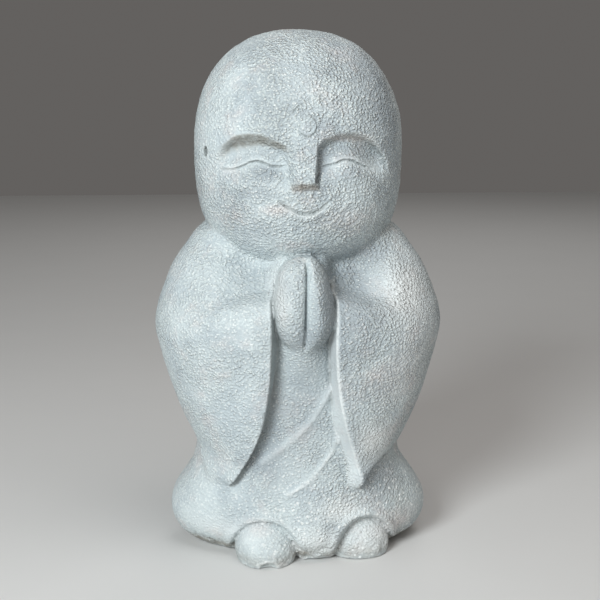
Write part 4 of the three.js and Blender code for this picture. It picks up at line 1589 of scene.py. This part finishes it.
def stone_material(colours, marks):
    """Pale weathered stone: pitted, its pit floors darkened partly as painted shade, dusty on its high
    grain, with painted shade in creases, painted light and shade in tinted and lit places, and brown where
    stained.
    """
    material, tree, shader, vector = new_material("pale_stone")
    place = tree.add("ShaderNodeSeparateXYZ", {0: vector}).outputs
    pit_inputs = {"Vector": vector, "Pit Size": marks.pit_size, "Grain Size": marks.grain_size}
    pits = tree.add("ShaderNodeGroup", pit_inputs, node_tree=pits_group()).outputs
    mottle_inputs = {"Vector": vector, "Patch Size": marks.patch_size}
    for label in ("Pale", "Cool", "Warm"):
        mottle_inputs[label] = solid(getattr(colours, label.lower()))
    mottle = tree.add("ShaderNodeGroup", mottle_inputs, node_tree=mottle_group()).outputs
    struck = attribute(tree, "hammering")
    shade_mask = attribute(tree, "shelter")
    tint_and_light = attribute(tree, "tint")

    # Pinkish places, partly painted light, and slate places, mostly painted shade, over the mottle
    rosy_and_light = tree.math("MULTIPLY", tint_and_light, 1.0, clamp=True)
    slate_and_shade = tree.math("MULTIPLY", tint_and_light, -SLATE_AND_SHADE_SHARE, clamp=True)
    color = tree.mix(rosy_and_light, mottle["Color"], solid(colours.rosy_and_light))
    color = tree.mix(slate_and_shade, color, solid(colours.slate_and_shade))

    # Darker floors where the pits are, partly speckle and partly painted shade, and dust on the high grain,
    # on the worn edges and where light is painted
    uneven = tree.spread(tree.noise(vector, UNEVEN_PER_METRE, 2.0, 0.5), *UNEVEN_RANGE)
    strength = tree.times(tree.spread(struck, *PITTING_RANGE), uneven)
    floors = tree.times(pits["Pits"], tree.times(strength, FLOOR_SHARE))
    floors = tree.math("MULTIPLY_ADD", tree.math("SUBTRACT", 1.0, strength), UNPITTED_SHARE, floors)
    color = tree.mix(floors, color, solid(colours.speck_and_pit_shade))
    dust_and_light = tree.times(tree.spread(pits["Height"], *DUST_RANGE), tree.spread(struck, *DUST_PITTING))
    # Worn edges are paler, and the same mask paints light on the wall band, the left foot, the crests and
    # the lit places
    dust_and_light = tree.math("MAXIMUM", dust_and_light, tree.times(attribute(tree, "wear"), WEAR_AND_LIGHT_SHARE))
    color = tree.mix(dust_and_light, color, solid(colours.dust_and_light))

    # Brown stain, and painted shade in creases and carved lines, both broken up by fine streaks
    streak = tree.noise(vector, STREAKS_PER_METRE, 4.0, 0.65)
    brown = tree.times(attribute(tree, "stain"), tree.spread(streak, *STAIN_STREAKS))
    color = tree.mix(tree.times(brown, STAIN_SHARE), color, solid(colours.stain))
    dark_shade = tree.times(tree.spread(shade_mask, *SHADE_RANGE), tree.spread(streak, *SHADE_STREAKS))
    dark_shade = tree.times(dark_shade, tree.spread(shade_mask, *SHADE_DEEPEST))
    color = tree.mix(dark_shade, color, solid(colours.dark_shade))

    # White specks near the hem
    specks = tree.spread(tree.cells(vector, 1.0 / marks.speck_spacing), *SPECK_RANGE)
    specks = tree.times(specks, tree.spread(place["Z"], *SPECK_HEIGHTS))
    specks = tree.times(specks, tree.spread(place["X"], *SPECK_SIDES))
    color = tree.mix(tree.times(specks, SPECK_SHARE), color, solid(colours.dust_and_light))
    tree.links.new(color, shader.inputs["Base Color"])

    roughness = tree.spread(pits["Grain"], *ROUGHNESS_RANGE)
    tree.links.new(roughness, shader.inputs["Roughness"])
    shader.inputs["Specular IOR Level"].default_value = SPECULAR
    height = tree.times(pits["Height"], strength)
    bump = tree.add("ShaderNodeBump", {"Height": height, "Strength": 1.0, "Distance": marks.pit_depth})
    tree.links.new(bump.outputs["Normal"], shader.inputs["Normal"])
    return material


def floor_material(colour):
    """Plain pale studio floor with a faint unevenness."""
    material, tree, shader, vector = new_material("studio_floor")
    deeper = [FLOOR_SHADE * value for value in colour]
    color = tree.mix(tree.noise(vector, FLOOR_PATCHES, 3.0, 0.5), solid(colour), solid(deeper))
    tree.links.new(color, shader.inputs["Base Color"])
    shader.inputs["Roughness"].default_value = FLOOR_ROUGHNESS
    return material


# Settings

class JizoMarks(PropertyGroup):
    dent_size: FloatProperty(
        name="Dent size", description="Spacing of the broad dents", default=0.012, unit="LENGTH"
    )
    dent_depth: FloatProperty(
        name="Dent depth", description="Depth of the broad dents", default=0.0006, unit="LENGTH"
    )
    swell_size: FloatProperty(
        name="Swell size", description="Spacing of the slow unevenness", default=0.05, unit="LENGTH"
    )
    swell_depth: FloatProperty(
        name="Swell depth", description="Depth of the slow unevenness", default=0.003, unit="LENGTH"
    )
    chip_size: FloatProperty(
        name="Chip size", description="Spacing of the chips along the hem", default=0.022, unit="LENGTH"
    )
    chip_depth: FloatProperty(
        name="Chip depth", description="Depth of the chips along the hem", default=0.004, unit="LENGTH"
    )
    pit_size: FloatProperty(
        name="Pit size", description="Spacing of the fine hammer pits", default=0.003, unit="LENGTH"
    )
    pit_depth: FloatProperty(
        name="Pit depth", description="Depth of the fine hammer pits", default=0.0032, unit="LENGTH"
    )
    grain_size: FloatProperty(
        name="Grain size", description="Spacing of the stone's own grain", default=0.0012, unit="LENGTH"
    )
    speck_spacing: FloatProperty(
        name="Speck spacing", description="Spacing of the hem's white specks", default=0.0065, unit="LENGTH"
    )
    patch_size: FloatProperty(
        name="Patch size", description="Size of the slow colour patches", default=0.05, unit="LENGTH"
    )
    seed: IntProperty(name="Seed", description="Which pattern of dents is struck", default=3)


class JizoColours(PropertyGroup):
    pale: FloatVectorProperty(
        name="Pale stone", description="Main colour", default=(0.69, 0.765, 0.765), subtype="COLOR"
    )
    cool: FloatVectorProperty(
        name="Cool patches", description="Blue-green patches", default=(0.54, 0.615, 0.64), subtype="COLOR"
    )
    warm: FloatVectorProperty(
        name="Warm patches", description="Pinkish patches", default=(0.75, 0.7, 0.675), subtype="COLOR"
    )
    # Pink of the tinted places, partly used as painted light
    rosy_and_light: FloatVectorProperty(
        name="Pinkish places", description="Where it turns pink", default=(0.8, 0.74, 0.71), subtype="COLOR"
    )
    # Blue-grey of the tinted places, mostly used as painted shade
    slate_and_shade: FloatVectorProperty(
        name="Slate places", description="Where it turns grey", default=(0.315, 0.36, 0.385), subtype="COLOR"
    )
    # Blue-grey of the pit floors: the stone's speckle and painted shade in the pits
    speck_and_pit_shade: FloatVectorProperty(
        name="Pit floors", description="Bottom of the pits", default=(0.36, 0.41, 0.45), subtype="COLOR"
    )
    # White of the dust, also used as painted light
    dust_and_light: FloatVectorProperty(
        name="Stone dust", description="White on grain and edges", default=(0.87, 0.9, 0.89), subtype="COLOR"
    )
    stain: FloatVectorProperty(
        name="Brown stain", description="Under brows, at hem", default=(0.27, 0.235, 0.185), subtype="COLOR"
    )
    # This dark colour is painted shade for creases, carved lines, the temple's pit and the sleeve's wall
    dark_shade: FloatVectorProperty(
        name="Grime", description="Dark dirt in the creases", default=(0.14, 0.155, 0.15), subtype="COLOR"
    )


class JizoStage(PropertyGroup):
    floor_colour: FloatVectorProperty(
        name="Floor", description="Colour of the studio floor", default=(0.72, 0.72, 0.71), subtype="COLOR"
    )
    key_power: FloatProperty(
        name="Key light", description="Power of the soft light, upper left", default=60.5, unit="POWER"
    )
    top_power: FloatProperty(
        name="Top light", description="Power of the broad light overhead", default=10.0, unit="POWER"
    )
    front_power: FloatProperty(
        name="Front light", description="Power of the low light in front", default=7.0, unit="POWER"
    )
    back_power: FloatProperty(
        name="Back light", description="Power of the soft light behind", default=14.0, unit="POWER"
    )
    sky: FloatProperty(name="Sky", description="Strength of the even light all round", default=0.125)
    lens: FloatProperty(name="Lens", description="Focal length of the camera", default=73.5, unit="CAMERA")
    distance: FloatProperty(
        name="Distance", description="From the statue's axis to the camera", default=1.42, unit="LENGTH"
    )
    eye_height: FloatProperty(
        name="Eye height", description="Height of the camera", default=0.56, unit="LENGTH"
    )
    azimuth: FloatProperty(
        name="Azimuth", description="Camera's place round it", default=math.radians(-3.8), subtype="ANGLE"
    )
    turn: FloatProperty(
        name="Turn", description="Compass turn of the camera", default=math.radians(-3.9), subtype="ANGLE"
    )
    pitch: FloatProperty(
        name="Pitch", description="How far it looks down", default=math.radians(10.845), subtype="ANGLE"
    )


# Operators

FLOOR_HALF = 4.0
LIGHT_TARGET = (0.0, 0.0, 0.3)
SKY_COLOUR = (1.0, 0.95, 0.91)
SENSOR_WIDTH = 36.0
FARTHEST = 50.0

# Soft lights in metres: name, place, size, colour and the setting that holds the power
LIGHTS = [
    ("key_light", (-1.22, -2.1, 1.42), 1.0, (0.95, 1.0, 1.02), "key_power"),
    ("top_light", (0.45, -0.6, 1.9), 1.4, (1.0, 0.95, 0.92), "top_power"),
    ("front_light", (-0.4, -2.6, 0.75), 1.2, (1.0, 0.96, 0.93), "front_power"),
    ("back_light", (0.6, 2.6, 2.4), 2.0, (1.0, 0.99, 0.98), "back_power"),
]


def show(name, data):
    item = bpy.data.objects.new(name, data)
    bpy.context.scene.collection.objects.link(item)
    return item


class JIZO_OT_statue(Operator):
    """Carves the statue, hammers its skin and gives it its stone"""

    bl_idname = "jizo.statue"
    bl_label = "Carve Statue"

    def execute(self, context):
        marks = context.scene.jizo_marks
        statue = show("stone_figure", statue_mesh())
        modifier = statue.modifiers.new("Hammered skin", "NODES")
        modifier.node_group = hammer_tree()
        set_inputs(modifier, {
            "Dent Size": marks.dent_size,
            "Dent Depth": marks.dent_depth,
            "Swell Size": marks.swell_size,
            "Swell Depth": marks.swell_depth,
            "Chip Size": marks.chip_size,
            "Chip Depth": marks.chip_depth,
            "Seed": float(marks.seed),
            "Material": stone_material(context.scene.jizo_colours, marks),
        })
        made_plain(statue)
        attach(statue, BODY)
        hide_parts(NODE)
        return {"FINISHED"}


def studio_floor(colour):
    corners = [(-FLOOR_HALF, -FLOOR_HALF), (FLOOR_HALF, -FLOOR_HALF)]
    corners += [(FLOOR_HALF, FLOOR_HALF), (-FLOOR_HALF, FLOOR_HALF)]
    mesh = bpy.data.meshes.new("floor")
    mesh.from_pydata([(x, y, 0.0) for x, y in corners], [], [(0, 1, 2, 3)])
    mesh.materials.append(floor_material(colour))
    floor = show("floor", mesh)


def soft_light(name, place, size, colour, power):
    """A round lamp that looks at the middle of the statue."""
    data = bpy.data.lights.new(name, "AREA")
    data.shape = "DISK"
    data.size = size
    data.energy = power
    data.color = colour
    lamp = show(name, data)
    lamp.location = place
    heading = np.array(LIGHT_TARGET) - np.array(place)
    flat = math.hypot(heading[0], heading[1])
    lamp.rotation_euler = (math.atan2(flat, -heading[2]), 0.0, math.atan2(-heading[0], heading[1]))


def studio_sky(strength):
    world = bpy.data.worlds.new("studio")
    world.use_nodes = True
    sky = world.node_tree.nodes["Background"]
    sky.inputs["Color"].default_value = solid(SKY_COLOUR)
    sky.inputs["Strength"].default_value = strength
    return world


def front_camera(stage):
    """The camera, a little to the statue's right and looking slightly down."""
    data = bpy.data.cameras.new("camera")
    data.lens = stage.lens
    data.sensor_width = SENSOR_WIDTH
    data.clip_end = FARTHEST
    camera = show("camera", data)
    across = stage.distance * math.sin(stage.azimuth)
    forward = -stage.distance * math.cos(stage.azimuth)
    camera.location = (across, forward, stage.eye_height)
    camera.rotation_euler = (math.pi / 2.0 - stage.pitch, 0.0, stage.turn)
    return camera


class JIZO_OT_stage(Operator):
    """Sets the floor, the soft lights and the camera"""

    bl_idname = "jizo.stage"
    bl_label = "Set Stage"

    def execute(self, context):
        scene = context.scene
        stage = scene.jizo_stage
        studio_floor(stage.floor_colour)
        for name, place, size, colour, power in LIGHTS:
            soft_light(name, place, size, colour, getattr(stage, power))
        scene.world = studio_sky(stage.sky)
        scene.camera = front_camera(stage)
        scene.view_settings.view_transform = "Standard"
        return {"FINISHED"}


class JIZO_PT_panel(Panel):
    """Lists the statue's steps and settings in the sidebar"""

    bl_idname = "JIZO_PT_panel"
    bl_label = "Stone Jizo"
    bl_space_type = "VIEW_3D"
    bl_region_type = "UI"
    bl_category = "Jizo"

    def draw(self, context):
        for operator, groups in STEPS:
            self.layout.operator(operator)
            for name in groups:
                group = getattr(context.scene, name)
                for setting in SETTINGS[name].__annotations__:
                    self.layout.prop(group, setting)


CLASSES = (JizoMarks, JizoColours, JizoStage, JIZO_OT_statue, JIZO_OT_stage, JIZO_PT_panel)
SETTINGS = {"jizo_marks": JizoMarks, "jizo_colours": JizoColours, "jizo_stage": JizoStage}
STEPS = [("jizo.statue", ["jizo_marks", "jizo_colours"]), ("jizo.stage", ["jizo_stage"])]


def register():
    for cls in CLASSES:
        bpy.utils.register_class(cls)
    for name, group in SETTINGS.items():
        setattr(bpy.types.Scene, name, PointerProperty(type=group))


def unregister():
    for name in SETTINGS:
        delattr(bpy.types.Scene, name)
    for cls in reversed(CLASSES):
        bpy.utils.unregister_class(cls)


def main():
    register()
    bpy.ops.jizo.statue()
    bpy.ops.jizo.stage()


if __name__ == "__main__":
    main()
